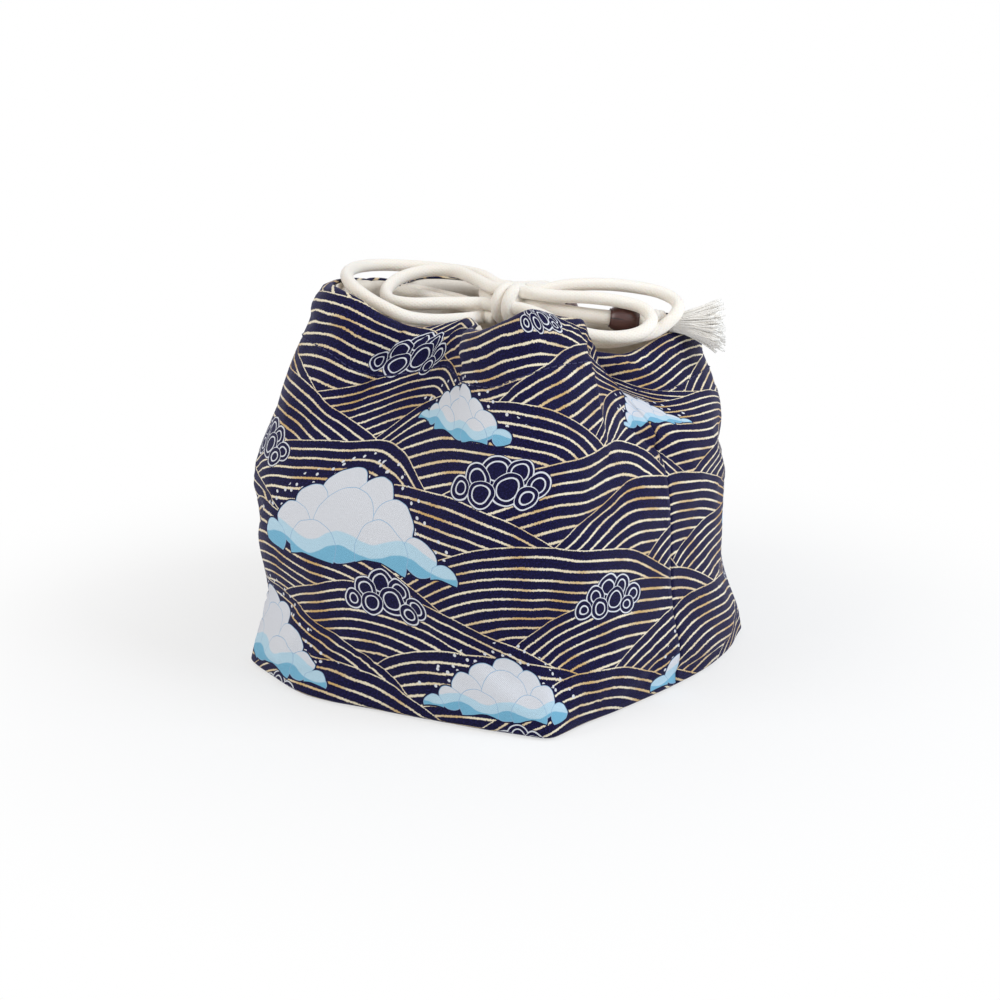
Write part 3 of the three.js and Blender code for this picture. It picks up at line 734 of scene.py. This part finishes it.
def wall_grid():
    """Points of the cloth by column and row, with the rows evenly spaced up each column."""
    foot, rim = column_angles()
    from_slit = np.minimum(np.arange(COLUMNS), COLUMNS - np.arange(COLUMNS))
    turn = SLIT_TURN * np.cos(np.pi / 2 * np.minimum(from_slit / SLIT_TURN_REACH, 1)) ** 2
    _, rim_height = rim_at(rim - turn)
    share = np.linspace(0, 1, 160)
    pull = np.clip((share - SLIT_TURN_FROM) / (1 - SLIT_TURN_FROM), 0, 1) ** SLIT_TURN_POWER
    angles = foot[:, None] + (rim - foot)[:, None] * share[None] ** 2 - turn[:, None] * pull[None]
    heights = FOOT_ROUND + (rim_height - FOOT_ROUND)[:, None] * share[None]
    heights[:, -1] -= 1e-6
    radius = wall_radius(angles, heights)
    fine = np.stack([radius * np.cos(angles), radius * np.sin(angles), heights], axis=-1)
    lean = smooth_step(heights, *LEAN_RISES) * (1 - smooth_step(heights, *LEAN_FALLS))
    fine[..., :2] += lean[..., None] * np.array(BELLY_SHIFT)
    return np.array([resample(column, ROWS + 1) for column in fine])


def grid_normals(grid):
    around = np.roll(grid, -1, axis=0) - np.roll(grid, 1, axis=0)
    up = np.gradient(grid, axis=1)
    return unit(np.cross(around, up))


# Folds pressed into the cloth, and ridges where the depth is negative: angle and height of both ends,
# depth, and width to either side of the line
FOLDS = (
    ((-103, 148), (-108, 100), 7.5, (5.5, 9)),
    ((-78, 148), (-67, 112), 3.5, (6, 3.5)),
    ((-32, 150), (-25, 96), -5.0, (10, 4)),
    ((-10, 112), (16, 80), 6.0, (8, 5)),
    ((90, 142), (96, 96), 6.0, (8, 6)),
    ((70, 140), (60, 100), 4.0, (3, 8)),
    ((118, 142), (110, 106), 3.5, (7, 3)),
    ((178, 148), (168, 100), 6.0, (8, 6)),
    ((198, 152), (208, 110), 4.0, (4, 8)),
)
FOLD_RADIUS = 66
# Shares of a fold's length over which it begins and runs out
FOLD_HEAD = (-0.25, 0.05)
FOLD_TAIL = 0.75


def fold_depth(grid):
    """How deep the folds press each point of the cloth in."""
    angle = np.degrees(np.arctan2(grid[..., 1], grid[..., 0]))
    depth = np.zeros(angle.shape)
    degree = math.radians(1) * FOLD_RADIUS
    for (a0, z0), (a1, z1), fold, widths in FOLDS:
        around = (np.mod(angle - a0 + 180, 360) - 180) * degree
        up = grid[..., 2] - z0
        way = np.array([(a1 - a0) * degree, z1 - z0])
        reach = np.linalg.norm(way)
        along = (around * way[0] + up * way[1]) / reach ** 2
        off = (up * way[0] - around * way[1]) / reach
        fade = smooth_step(1 - along, 0, FOLD_TAIL) * smooth_step(along, *FOLD_HEAD)
        depth += fold * fade * np.exp(-np.abs(off) / np.where(off < 0, *widths))
    return depth


# Cloth simulation: the cloth is a little longer than its shape, so that it wrinkles and sags

DRAPE_FRAMES = 16
DRAPE_SLACK = 0.012
DRAPE_LIMIT = 4.0
PRESSURE = 1.0
GRAVITY = 0.05
HELD_ROWS = 3


def drape(grid):
    """The grid after a short cloth simulation, held at the foot and along the rim."""
    rows = ROWS + 1
    vertices = grid.reshape(-1, 3)
    faces = [(a, d, c, b) for a, b, c, d in grid_faces(COLUMNS, rows, ring_rows=True)]
    obj = make_object("drape", vertices, faces)
    held_rows = [j for j in range(rows) if j < HELD_ROWS or j > ROWS - HELD_ROWS]
    held = obj.vertex_groups.new(name="held")
    held.add([i * rows + j for j in held_rows for i in range(COLUMNS)], 1.0, "REPLACE")
    modifier = obj.modifiers.new("drape", "CLOTH")
    cloth = modifier.settings
    cloth.quality = 5
    cloth.mass = 0.02
    cloth.tension_stiffness = 12
    cloth.compression_stiffness = 12
    cloth.shear_stiffness = 5
    cloth.bending_stiffness = 0.6
    cloth.air_damping = 4
    cloth.shrink_min = -DRAPE_SLACK
    cloth.use_pressure = True
    cloth.uniform_pressure_force = PRESSURE
    cloth.vertex_group_mass = "held"
    cloth.effector_weights.gravity = GRAVITY
    modifier.collision_settings.use_collision = False
    modifier.point_cache.frame_end = DRAPE_FRAMES
    scene = bpy.context.scene
    for number in range(1, DRAPE_FRAMES + 1):
        scene.frame_set(number)
    shown = obj.evaluated_get(bpy.context.evaluated_depsgraph_get())
    places = np.zeros(len(vertices) * 3, np.float32)
    shown.data.vertices.foreach_get("co", places)
    scene.frame_set(1)
    bpy.data.meshes.remove(obj.data)
    moved = places.reshape(grid.shape) / MM - grid
    size = np.linalg.norm(moved, axis=2, keepdims=True)
    return grid + moved * np.minimum(1, DRAPE_LIMIT / np.maximum(size, 1e-6))


WALL = wall_grid()
WALL = WALL - grid_normals(WALL) * fold_depth(WALL)[..., None]
WALL = drape(WALL)
WALL_NORMALS = grid_normals(WALL)
BELOW_RIM = np.array([running_length(column[::-1])[::-1] for column in WALL])


# One half of the bag: its printed wall over the hem's cords, and the lining that is sewn to it at the rim

def hem_half(below):
    """Half the thickness of the hem at a depth below the rim: round over the two cords, then flat."""
    dome = np.sqrt(np.clip(1 - ((UPPER_RUN - below) / UPPER_RUN) ** 2, 0.0, 1))
    top = np.where(below < UPPER_RUN, HEM_HALF * np.maximum(dome, HEM_TOP_SHARE), HEM_HALF)
    flat = smooth_step(below, LOWER_RUN, LOWER_RUN + HEM_FADE)
    return top + (HEM_FLAT - top) * flat


def near_edge(from_edge, reach):
    """1 at an edge of the cloth and 0 from a reach on, in columns."""
    return (1 - smooth_step(from_edge, 0, reach))[:, None]


def slit_shift(below):
    """How far the hem's ends stand back from the side seams, so that the cords can come out."""
    columns = np.arange(HALF_COLUMNS + 1)
    from_seam = np.minimum(columns, HALF_COLUMNS - columns)
    return SLIT_HALF * near_edge(from_seam, SLIT_REACH) * (1 - smooth_step(below, *SLIT_FADE))


def half_section(start, side):
    """Points of one half, moved at the slits, their normals and their depths below the rim."""
    columns = (start + np.arange(HALF_COLUMNS + 1)) % COLUMNS
    points, normals, below = WALL[columns], WALL_NORMALS[columns], BELOW_RIM[columns]
    points[..., 1] += side * slit_shift(below)
    from_right = np.arange(HALF_COLUMNS + 1)[::side]
    high = 1 - smooth_step(below, *LAP_FADE)
    near = near_edge(from_right, LAP_REACH) * high
    points += normals * near[..., None] * (-SLIT_UNDER if side > 0 else SLIT_OVER)
    if side > 0:
        points[..., 1] -= SLIT_LAP * near_edge(from_right, SLIT_REACH) * high
    points[[0, -1], :, 1] += side * SEAM_GAP
    return points, normals, below


# Thickness, material and slot of the two cloths
SHEETS = {"cloth": (CLOTH, PRINTED, "printed_cloth"), "lining": (LINING, LINED, "lining_cloth")}
# The mouth opens most between the slits. BLEND_LEAN leans a plane out to the belly; follow_rim works out its
# direction but does not move the cloth
BLEND_LEAN = 0.82


def follow_rim(obj, side):
    way = np.array([0, side * BLEND_LEAN, 1.0])
    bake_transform(obj)


def half_sheet(name, start, side, kind, rows, heights, nodes):
    """A sheet from rows of points, with its flat place as UV, thickened inwards."""
    thickness, material, slot = SHEETS[kind]
    across = (start + np.arange(HALF_COLUMNS + 1)) * CLOTH_ROUND / COLUMNS
    uvs = np.stack([np.tile(across, len(rows)), np.repeat(heights, len(across))], axis=1)
    obj = make_object(f"{name}_{kind}", np.concatenate(rows), grid_faces(len(rows), len(across)), uvs)
    thicken(obj, thickness)
    place(obj, None, material, nodes)
    flat = (CLOTH_ROUND / 2 * MM, heights[-1] * MM)
    follow_rim(obj, side)


def foot_rows(points, normals):
    """Two rows that turn the cloth in under the bag."""
    level = unit(normals * [1, 1, 0])
    under = points - level * FOOT_ROUND * FOOT_UNDER
    under[:, 2] = CLOTH
    turn = points - level * FOOT_ROUND * FOOT_IN
    turn[:, 2] = FOOT_ROUND * FOOT_UP
    return [under, turn]


def cloth_half(name, start, side):
    points, normals, below = half_section(start, side)
    outer = points + normals * hem_half(below)[..., None]
    crown = points[:, -1] + (points[:, -1] - points[:, -2]) / below[:, -2, None] * CROWN_RISE
    inner = points[:, -1] - normals[:, -1] * hem_half(below[:, -1])[:, None]
    rows = [*foot_rows(points[:, 0], normals[:, 0]), *outer.transpose(1, 0, 2), crown, inner]
    heights = [*FOOT_TURN, *np.linspace(0, CLOTH_HEIGHT, ROWS + 1), *(CLOTH_HEIGHT + up for up in RIM_TURN)]
    nodes = (f"outer_{name}_panel",)
    half_sheet(name, start, side, "cloth", rows, heights, nodes)


def lining_half(name, start, side):
    points, normals, below = half_section(start, side)
    points[..., 1] += side * slit_shift(below) * LINING_BACK
    lift = np.maximum(LINING_LIFT, hem_half(below) + CLOTH * LINING_SEAT)
    fine_from = ROWS - LINING_FINE_ROWS
    shown = [*range(0, fine_from, 2), *range(fine_from, ROWS + 1)]
    rows = [points[:, j] - normals[:, j] * lift[:, j, None] for j in shown]
    rows[0][:, 2] = LINING_FOOT
    heights = [j * CLOTH_HEIGHT / ROWS for j in shown]
    nodes = (f"lining_{name}_panel", f"{name}_casing")
    half_sheet(name, start, side, "lining", rows, heights, nodes)


# Stitches along the lower edge of the hems

STITCH_BELOW = 24
STITCH = 2.3
STITCH_PITCH = 3.3
STITCH_STEPS = 6
STITCH_MARGIN = 4
STITCH_RISE = 0.3
STITCH_LIFT = 0.05
THREAD_WIDTH = 0.5


def at_depth(points, below, depth):
    """Where each column of a grid lies at a depth below the rim."""
    return np.array([
        [np.interp(-depth, -drops, column[:, axis]) for axis in range(3)]
        for column, drops in zip(points, below)
    ])


def hem_stitches(name, start, side):
    points, normals, below = half_section(start, side)
    line = at_depth(points + normals * (HEM_FLAT + STITCH_LIFT), below, STITCH_BELOW)
    line = even_steps(line, STITCH_PITCH / STITCH_STEPS)
    outward = unit(line * [1, 1, 0])
    count = round(STITCH / STITCH_PITCH * STITCH_STEPS)
    rise = STITCH_RISE * np.sin(np.linspace(0, np.pi, count + 1))
    parts = []
    for first in range(STITCH_MARGIN, len(line) - count - STITCH_MARGIN, STITCH_STEPS):
        run = slice(first, first + count + 1)
        parts.append(tube_mesh(line[run] + outward[run] * rise[:, None], THREAD_WIDTH / 2, sides=6))
    obj = make_object(f"{name}_hem_stitches", *join_meshes(parts))
    place(obj, None, THREAD)
    follow_rim(obj, side)


def cased_runs(name, start, side):
    """The two runs of cord inside a hem."""
    points, _, below = half_section(start, side)
    for run, depth in (("upper", UPPER_RUN), ("lower", LOWER_RUN)):
        path = at_depth(points, below, depth)
        path = path[CASED_STOP:] if side > 0 else path[:-CASED_STOP]
        path = even_steps(path, step=2.0)
        obj = make_object(f"{name}_{run}_run", *tube_mesh(path, CASED_CORD / 2, sides=12))
        place(obj, None, COTTON, (f"{name}_casing_{run}_cord",))
        follow_rim(obj, side)


BASE_RINGS = (1.0, 0.985, 0.94, 0.8, 0.6, 0.4, 0.2)


def base_sheet(kind, bottom, inset, node):
    """A flat square of cloth under or in the bag."""
    thickness, material, slot = SHEETS[kind]
    outline = WALL[:, 0] - unit(WALL_NORMALS[:, 0] * [1, 1, 0]) * inset
    level = np.array([0, 0, bottom + thickness])
    vertices = np.vstack([*(outline * [share, share, 0] + level for share in BASE_RINGS), level])
    faces = grid_faces(len(BASE_RINGS), COLUMNS, ring_columns=True)
    last = (len(BASE_RINGS) - 1) * COLUMNS
    faces += [(last + i, last + (i + 1) % COLUMNS, len(vertices) - 1) for i in range(COLUMNS)]
    obj = make_object(f"base_{kind}", vertices, faces, vertices[:, :2] + BASE_WIDTH / 2)
    thicken(obj, thickness)
    place(obj, "bag", material, (node,))


base_sheet("cloth", bottom=0, inset=2.2, node="outer_base_panel")
base_sheet("lining", bottom=1.4, inset=1.6, node="lining_base_panel")
# Name, first column and side of each half
for half in (("front", HALF_COLUMNS, -1), ("back", 0, 1)):
    cloth_half(*half)
    lining_half(*half)
    hem_stitches(*half)
    cased_runs(*half)


# Free cords: the routes are those of the solid model

def from_knot(side, column, row):
    """A strand's way out of the knot, from inside it to straight out of its face."""
    return [
        tuple(KNOT + [side * (KNOT_LENGTH / 2 + way), column * KNOT_PITCH, row * KNOT_PITCH])
        for way in (-KNOT_HIDDEN, GAP, KNOT_STRAIGHT)
    ]


def to_knot(*where):
    return from_knot(*where)[::-1]


ROUTES = {
    "left_front_lead": [
        (-58.7, -12.7, 146.4), (-58.4, -10.1, 145.8), (-54.6, -5, 147.7), (-47.5, -2.9, 148.2),
        (-38, -2.9, 147.9), (-24, -3, 147), (-10, -3, 145.2), *to_knot(-1, 0, -1),
    ],
    "left_back_lead": [
        (-58.2, 11.8, 143.9), (-58, 9.2, 144.3), (-54.6, 5, 147.5), (-47.5, 2.9, 148.2), (-38, 2.8, 147.9),
        (-24, 2.6, 147), (-10, 2.6, 145.2), *to_knot(-1, 1, -1),
    ],
    "right_front_lead": [
        (49.5, -15.8, 132), (49.8, -12.6, 129.8), (50.4, -6.4, 125.6), (46.5, -3.3, 123.4), (39, -3, 126.6),
        (30, -3, 133), (21, -3, 140.4), *to_knot(1, 0, -1),
    ],
    "right_back_lead": [
        (57.1, 13.3, 125.8), (55.9, 11, 125.3), (54.6, 6.2, 124.1), (47.5, 2.8, 123.8), (39, 2.7, 126.6),
        (30, 2.6, 133), (21, 2.6, 140.4), *to_knot(1, 1, -1),
    ],
    "left_outer_loop": [
        *from_knot(-1, 1, 1), (-16, 7, 157.6), (-34, 10, 157.6), (-49, 4, 158.3), (-59, -6, 159.3),
        (-61.5, -18, 160), (-56.5, -31, 160), (-47, -41, 158.8), (-36, -46, 156), (-25.5, -45.5, 152),
        (-17, -41.5, 148.5), (-10, -33, 146.6), (-5, -20, 145.4), *to_knot(-1, -1, -1),
    ],
    "left_inner_loop": [
        *from_knot(-1, 0, 1), (-14, -0.5, 157.6), (-26, 2.2, 159), (-36, -2, 158.8), (-42.5, -12, 157),
        (-42, -23, 154), (-35, -30.5, 151.6), (-26, -29.5, 150.8), (-17, -21.5, 150.6), (-9, -13, 150.2),
        *to_knot(-1, -1, 0),
    ],
    "right_far_loop": [
        *from_knot(1, 1, 1), (24, 10, 157.5), (35, 20, 157.7), (45, 29, 156.2), (54, 34.8, 154),
        (61.4, 34.9, 151.2), (65.4, 28.6, 148), (61.6, 20.4, 142), (55.4, 13.6, 139.4), (47.5, 7, 137.8),
        (38.5, 0, 138.8), (28, -6, 141.3), (20, -8.3, 143.2), *to_knot(1, -1, -1),
    ],
    "right_near_loop": [
        *from_knot(1, 0, 1), (24, 2, 154.5), (35, 9.5, 154), (46, 17, 152.3), (54.6, 20.6, 149.9),
        (60, 18.2, 146.4), (60.2, 11, 143), (54.5, 3.3, 141.4), (44, -3.5, 142.3), (32, -7, 146),
        (22, -8.2, 149), *to_knot(1, -1, 0),
    ],
}
# Each tail ends in a straight stretch for its bead
RIGHT_STRAIGHT = np.array([(34, 12, 146), (52.5, 25.8, 143.4)])
LEFT_STRAIGHT = np.array([(-13, 57.5, 141.8), (-13, 76, 124.5)])
STRAIGHT_POINTS = 4
RIGHT_TAIL = [*from_knot(1, 0.5, 0), (19, 2.6, 149.2), (26.2, 6.6, 147.4)]
LEFT_TAIL = [
    *from_knot(-1, 0.5, 0), (-8, 1.2, 150.7), (-14.5, 8.8, 151), (-15.5, 20, 150), (-14.5, 32, 148),
    (-14, 37, 147.4), (-13.5, 43, 146.6), (-13, 51, 145.2),
]
# How far along its straight stretch each bead starts, and which way each tassel hangs
RIGHT_BEAD_START = 8.4
LEFT_BEAD_START = 6.0
RIGHT_TASSEL_WAY = (0.84, 0.53, 0.09)
LEFT_TASSEL_WAY = (0, 0.36, -0.93)


def free_cord(name, route, diameter, nodes, body="bag"):
    path = smooth_curve(route)
    obj = make_object(f"{name}_strand", *tube_mesh(path, diameter / 2, sides=16))
    place(obj, body, COTTON, nodes)
    return obj


for cord_name, cord_route in ROUTES.items():
    free_cord(cord_name, cord_route, CORD, (cord_name,))
right_route = [*RIGHT_TAIL, *np.linspace(*RIGHT_STRAIGHT, STRAIGHT_POINTS)]
left_route = [*LEFT_TAIL, *np.linspace(*LEFT_STRAIGHT, STRAIGHT_POINTS)]
free_cord("right_tail", right_route, BUNDLE, ("right_tail",))
left_tail = free_cord("left_tail", left_route, BUNDLE, ("left_tail", "left_tail_end"), None)
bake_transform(left_tail)


# Bow knot: two turns of cord round a core of strands

WRAP_ACROSS = 7.2
WRAP_UP = 6.4
WRAP_OFFSET = 2.55
WRAP_TILT = 0.7
KNOT_CORE = 5.2


def bow_knot():
    parts = []
    turns = even_turns(48)
    for offset in (-WRAP_OFFSET, WRAP_OFFSET):
        along = offset + WRAP_TILT * np.sin(turns / 2 + 0.3)
        ring = KNOT + np.stack([along, WRAP_ACROSS * np.cos(turns), WRAP_UP * np.sin(turns)], axis=1)
        parts.append(tube_mesh(ring, CORD / 2, sides=14, closed=True))
    half = KNOT_LENGTH / 2 - 1
    parts.append(tube_mesh(KNOT + np.linspace((-half, 0, 0), (half, 0, 0), 8), KNOT_CORE, sides=16))
    obj = make_object("bow_wraps", *join_meshes(parts))
    place(obj, "bag", COTTON, ("bow_knot",))


bow_knot()


# End knots, beads and tassels on the tails

END_KNOT_TURNS = 2.2
END_KNOT_FROM = 1.9
END_KNOT_RADIUS = 3.2
END_KNOT_TAPER = 0.9
END_KNOT_CORD = 2.2
END_KNOT_CORE = 3.1
BEAD_PLAY = 0.35
BEAD_SIDES = 48
BEAD_STEPS = 16
BEAD_BELLY_POWER = 0.7
# Rounded lip of a bead's bore: how far out from the bore and how far in from the end
BEAD_LIP = ((0, 1.2), (0.2, 0.4), (0.5, 0.05))
BEAD_RIM = (-0.2, 0.1)
LOCKS = 34
LOCK_STRANDS = 13
TASSEL_FAN = 22
FAN_POWER = 1.3
NECK_FILL = 0.85
STRAND_WIDTH = 0.75
# Ranges of the threads' lengths as shares, their sag and their waves, and spreads of a lock's threads
LOCK_LENGTHS = (0.86, 1.06)
LOCK_SAGS = (0.5, 4.0)
STRAND_LENGTHS = (0.94, 1.04)
WAVE_HEIGHTS = (0.1, 0.7)
WAVE_TURNS = (5, 11)
STRAND_TURN = 0.3
STRAND_REACH = 0.12
STRAND_BEND = 0.7


def axis_frame(way):
    way = unit(np.asarray(way, float))
    side = unit(np.cross(way, [0.0, 0.0, 1.0] if abs(way[2]) < 0.9 else [0.0, 1.0, 0.0]))
    return way, side, np.cross(way, side)


def end_knot(name, start, way, body):
    """Turns of cord wound round the end of the tail."""
    way, side, other = axis_frame(way)
    steps = 90
    turns = np.linspace(0, END_KNOT_TURNS * TURN, steps)
    along = np.linspace(END_KNOT_FROM, END_KNOT_LENGTH - END_KNOT_CORD, steps)[:, None]
    radius = END_KNOT_RADIUS - END_KNOT_TAPER * np.abs(np.linspace(-1, 1, steps)[:, None]) ** 3
    path = start + along * way + radius * spokes(turns, side, other)
    core = start + way * np.linspace(-GAP, END_KNOT_LENGTH, 8)[:, None]
    parts = [tube_mesh(path, END_KNOT_CORD, sides=12), tube_mesh(core, END_KNOT_CORE, sides=14)]
    obj = make_object(name, *join_meshes(parts))
    place(obj, body, COTTON, (name.replace("wrapped_", ""),))


def bead(name, start, way, body):
    """A turned barrel bead with rounded rims and a bore."""
    way, side, other = axis_frame(way)
    bore = BUNDLE / 2 + BEAD_PLAY
    wide = BEAD_DIAMETER / 2
    end = wide * BEAD_END_SHARE
    lip = [(bore + out, along) for out, along in BEAD_LIP] + [(end + BEAD_RIM[0], BEAD_RIM[1])]
    profile = list(lip)
    for k in range(1, BEAD_STEPS):
        share = k / BEAD_STEPS
        radius = end + (wide - end) * math.sin(math.pi * share) ** BEAD_BELLY_POWER
        profile.append((radius, BEAD_RIM[1] + (BEAD_LENGTH - 2 * BEAD_RIM[1]) * share))
    profile += [(radius, BEAD_LENGTH - along) for radius, along in reversed(lip)]
    turns = even_turns(BEAD_SIDES)
    ring = spokes(turns, side, other)
    vertices = np.vstack([start + way * along + ring * radius for radius, along in profile])
    lengths = [along for _, along in profile]
    uvs = np.stack([np.tile(turns * wide, len(profile)), np.repeat(lengths, BEAD_SIDES)], axis=1)
    obj = make_object(name, vertices, grid_faces(len(profile), BEAD_SIDES, True, True), uvs)
    place(obj, body, WOOD, (body,))


def tassel(name, start, way, body, seed):
    """Loose threads in soft locks that spread from the neck, wave a little and sag."""
    draw = random.Random(seed)
    way, side, other = axis_frame(way)
    down = np.array([0, 0, -1.0])
    share = np.linspace(0, 1, 10)[:, None]
    neck, fan = TASSEL_NECK / 2, TASSEL_FAN / 2
    spread = neck * NECK_FILL + (fan - neck) * share ** FAN_POWER
    parts = []
    for _ in range(LOCKS):
        turn = draw.uniform(0, TURN)
        out = math.sqrt(draw.random())
        lock_length = TASSEL_LENGTH * draw.uniform(*LOCK_LENGTHS)
        lock_sag = draw.uniform(*LOCK_SAGS)
        for _ in range(LOCK_STRANDS):
            strand_turn = turn + draw.gauss(0, STRAND_TURN)
            reach = min(1.0, max(0.0, out + draw.gauss(0, STRAND_REACH)))
            radial = math.cos(strand_turn) * side + math.sin(strand_turn) * other
            across = np.cross(way, radial)
            height = draw.uniform(*WAVE_HEIGHTS)
            wave = height * np.sin(share * draw.uniform(*WAVE_TURNS) + draw.uniform(0, TURN)) * share
            path = start + way * lock_length * draw.uniform(*STRAND_LENGTHS) * share
            path = path + radial * reach * spread
            bend = draw.gauss(0, STRAND_BEND) * share ** 2
            path = path + across * (wave + bend) + down * lock_sag * share ** 2
            parts.append(tube_mesh(path, STRAND_WIDTH / 2, sides=5))
    obj = make_object(name, *join_meshes(parts))
    place(obj, body, THREADS, (body,))


def tail_pieces(side, line, bead_start, tassel_way, body, seed):
    start, end = line
    way = unit(end - start)
    knot_start = end + way * GAP
    tassel_start = knot_start + way * (END_KNOT_LENGTH + GAP)
    bead(f"{side}_wood_bead", start + way * bead_start, way, f"{side}_bead")
    end_knot(f"{side}_wrapped_end_knot", knot_start, way, body)
    tassel(f"{side}_thread_tassel", tassel_start, tassel_way, f"{side}_tassel", seed)


tail_pieces("right", RIGHT_STRAIGHT, RIGHT_BEAD_START, RIGHT_TASSEL_WAY, "bag", seed=3)
tail_pieces("left", LEFT_STRAIGHT, LEFT_BEAD_START, LEFT_TASSEL_WAY, "back_rim", seed=5)


# Floor, light and camera, in metres

FLOOR_SIDES = 96
FLOOR_RADIUS = 2.5
FLOOR_SHADOW = 0.11
FLOOR_WHITE = 0.3
FLOOR_PALE = 0.62
WORLD_LIGHT = 0.46
LAMPS_AIM = Vector((0, 0, 0.08))
CAMERA_TURN = math.radians(35)
CAMERA_LIFT = math.radians(16)
CAMERA_DISTANCE = 0.9
CAMERA_AIM = Vector((0, 0, 0.085))
CAMERA_LENS = 77.6
CAMERA_SENSOR = 36
CAMERA_SHIFT = (-0.003, -0.0465)


def seen_straight(nodes):
    """1 for what the camera sees straight, in a mirror or through glass."""
    kinds = ("Camera", "Glossy", "Transmission")
    camera, glossy, clear = (nodes.value("LightPath", output=f"Is {kind} Ray") for kind in kinds)
    return nodes.math("MAXIMUM", nodes.math("MAXIMUM", camera, glossy), clear)


def pale_floor():
    """A wide pale disc that keeps the bag's shadow and fades into white."""
    x_axis, y_axis, _ = np.eye(3)
    ring = spokes(even_turns(FLOOR_SIDES), x_axis, y_axis) * (FLOOR_RADIUS / MM)
    obj = make_object("floor", ring, [tuple(range(FLOOR_SIDES))])
    mat = Paint("pale_floor")
    mat.set(Base_Color=(0.93, 0.93, 0.93, 1), Roughness=0.9, Specular_IOR_Level=0.1)
    away = mat.vector("LENGTH", mat.value("TexCoord", output="Object"))
    share = mat.blend(mat.soft(away, FLOOR_SHADOW, FLOOR_WHITE), FLOOR_PALE, 1.0) * seen_straight(mat)
    mixed = mat.value("MixShader", enumerate((share, mat.surface, mat.value("Emission"))))
    mat.put(mat.output.inputs["Surface"], mixed)
    obj.data.materials.append(mat.owner)


def add_to_scene(name, data, location, way):
    """A lamp or camera at a place, facing that way."""
    obj = bpy.data.objects.new(name, data)
    obj.location = location
    obj.rotation_euler = way.to_track_quat("-Z", "Y").to_euler()
    bpy.context.collection.objects.link(obj)
    return obj


def soft_lamp(name, location, size, power, colour):
    light = bpy.data.lights.new(name, "AREA")
    light.shape = "DISK"
    light.size = size
    light.energy = power
    light.color = colour
    add_to_scene(name, light, location, LAMPS_AIM - Vector(location))


def studio():
    nodes = Nodes(bpy.data.worlds.new("studio"))
    light = {"Value": seen_straight(nodes), "To Min": WORLD_LIGHT, "To Max": 1.0}
    background = nodes.tree.nodes["Background"]
    nodes.put(background.inputs["Strength"], nodes.value("MapRange", light))
    nodes.put(background.inputs["Color"], (1, 1, 1, 1))
    bpy.context.scene.world = nodes.owner
    soft_lamp("right_softbox", (1.15, 0.25, 0.95), size=0.9, power=13.5, colour=(0.86, 0.92, 1.0))
    soft_lamp("front_softbox", (-0.6, -1.25, 1.0), size=1.1, power=9.5, colour=(1.0, 0.985, 0.96))
    bpy.context.scene.view_settings.view_transform = "Standard"


def camera():
    away = Vector((
        math.sin(CAMERA_TURN) * math.cos(CAMERA_LIFT),
        -math.cos(CAMERA_TURN) * math.cos(CAMERA_LIFT),
        math.sin(CAMERA_LIFT),
    ))
    data = bpy.data.cameras.new("camera")
    data.lens = CAMERA_LENS
    data.sensor_width = CAMERA_SENSOR
    data.shift_x, data.shift_y = CAMERA_SHIFT
    location = CAMERA_AIM + away * CAMERA_DISTANCE
    bpy.context.scene.camera = add_to_scene("camera", data, location, -away)


pale_floor()
studio()
camera()
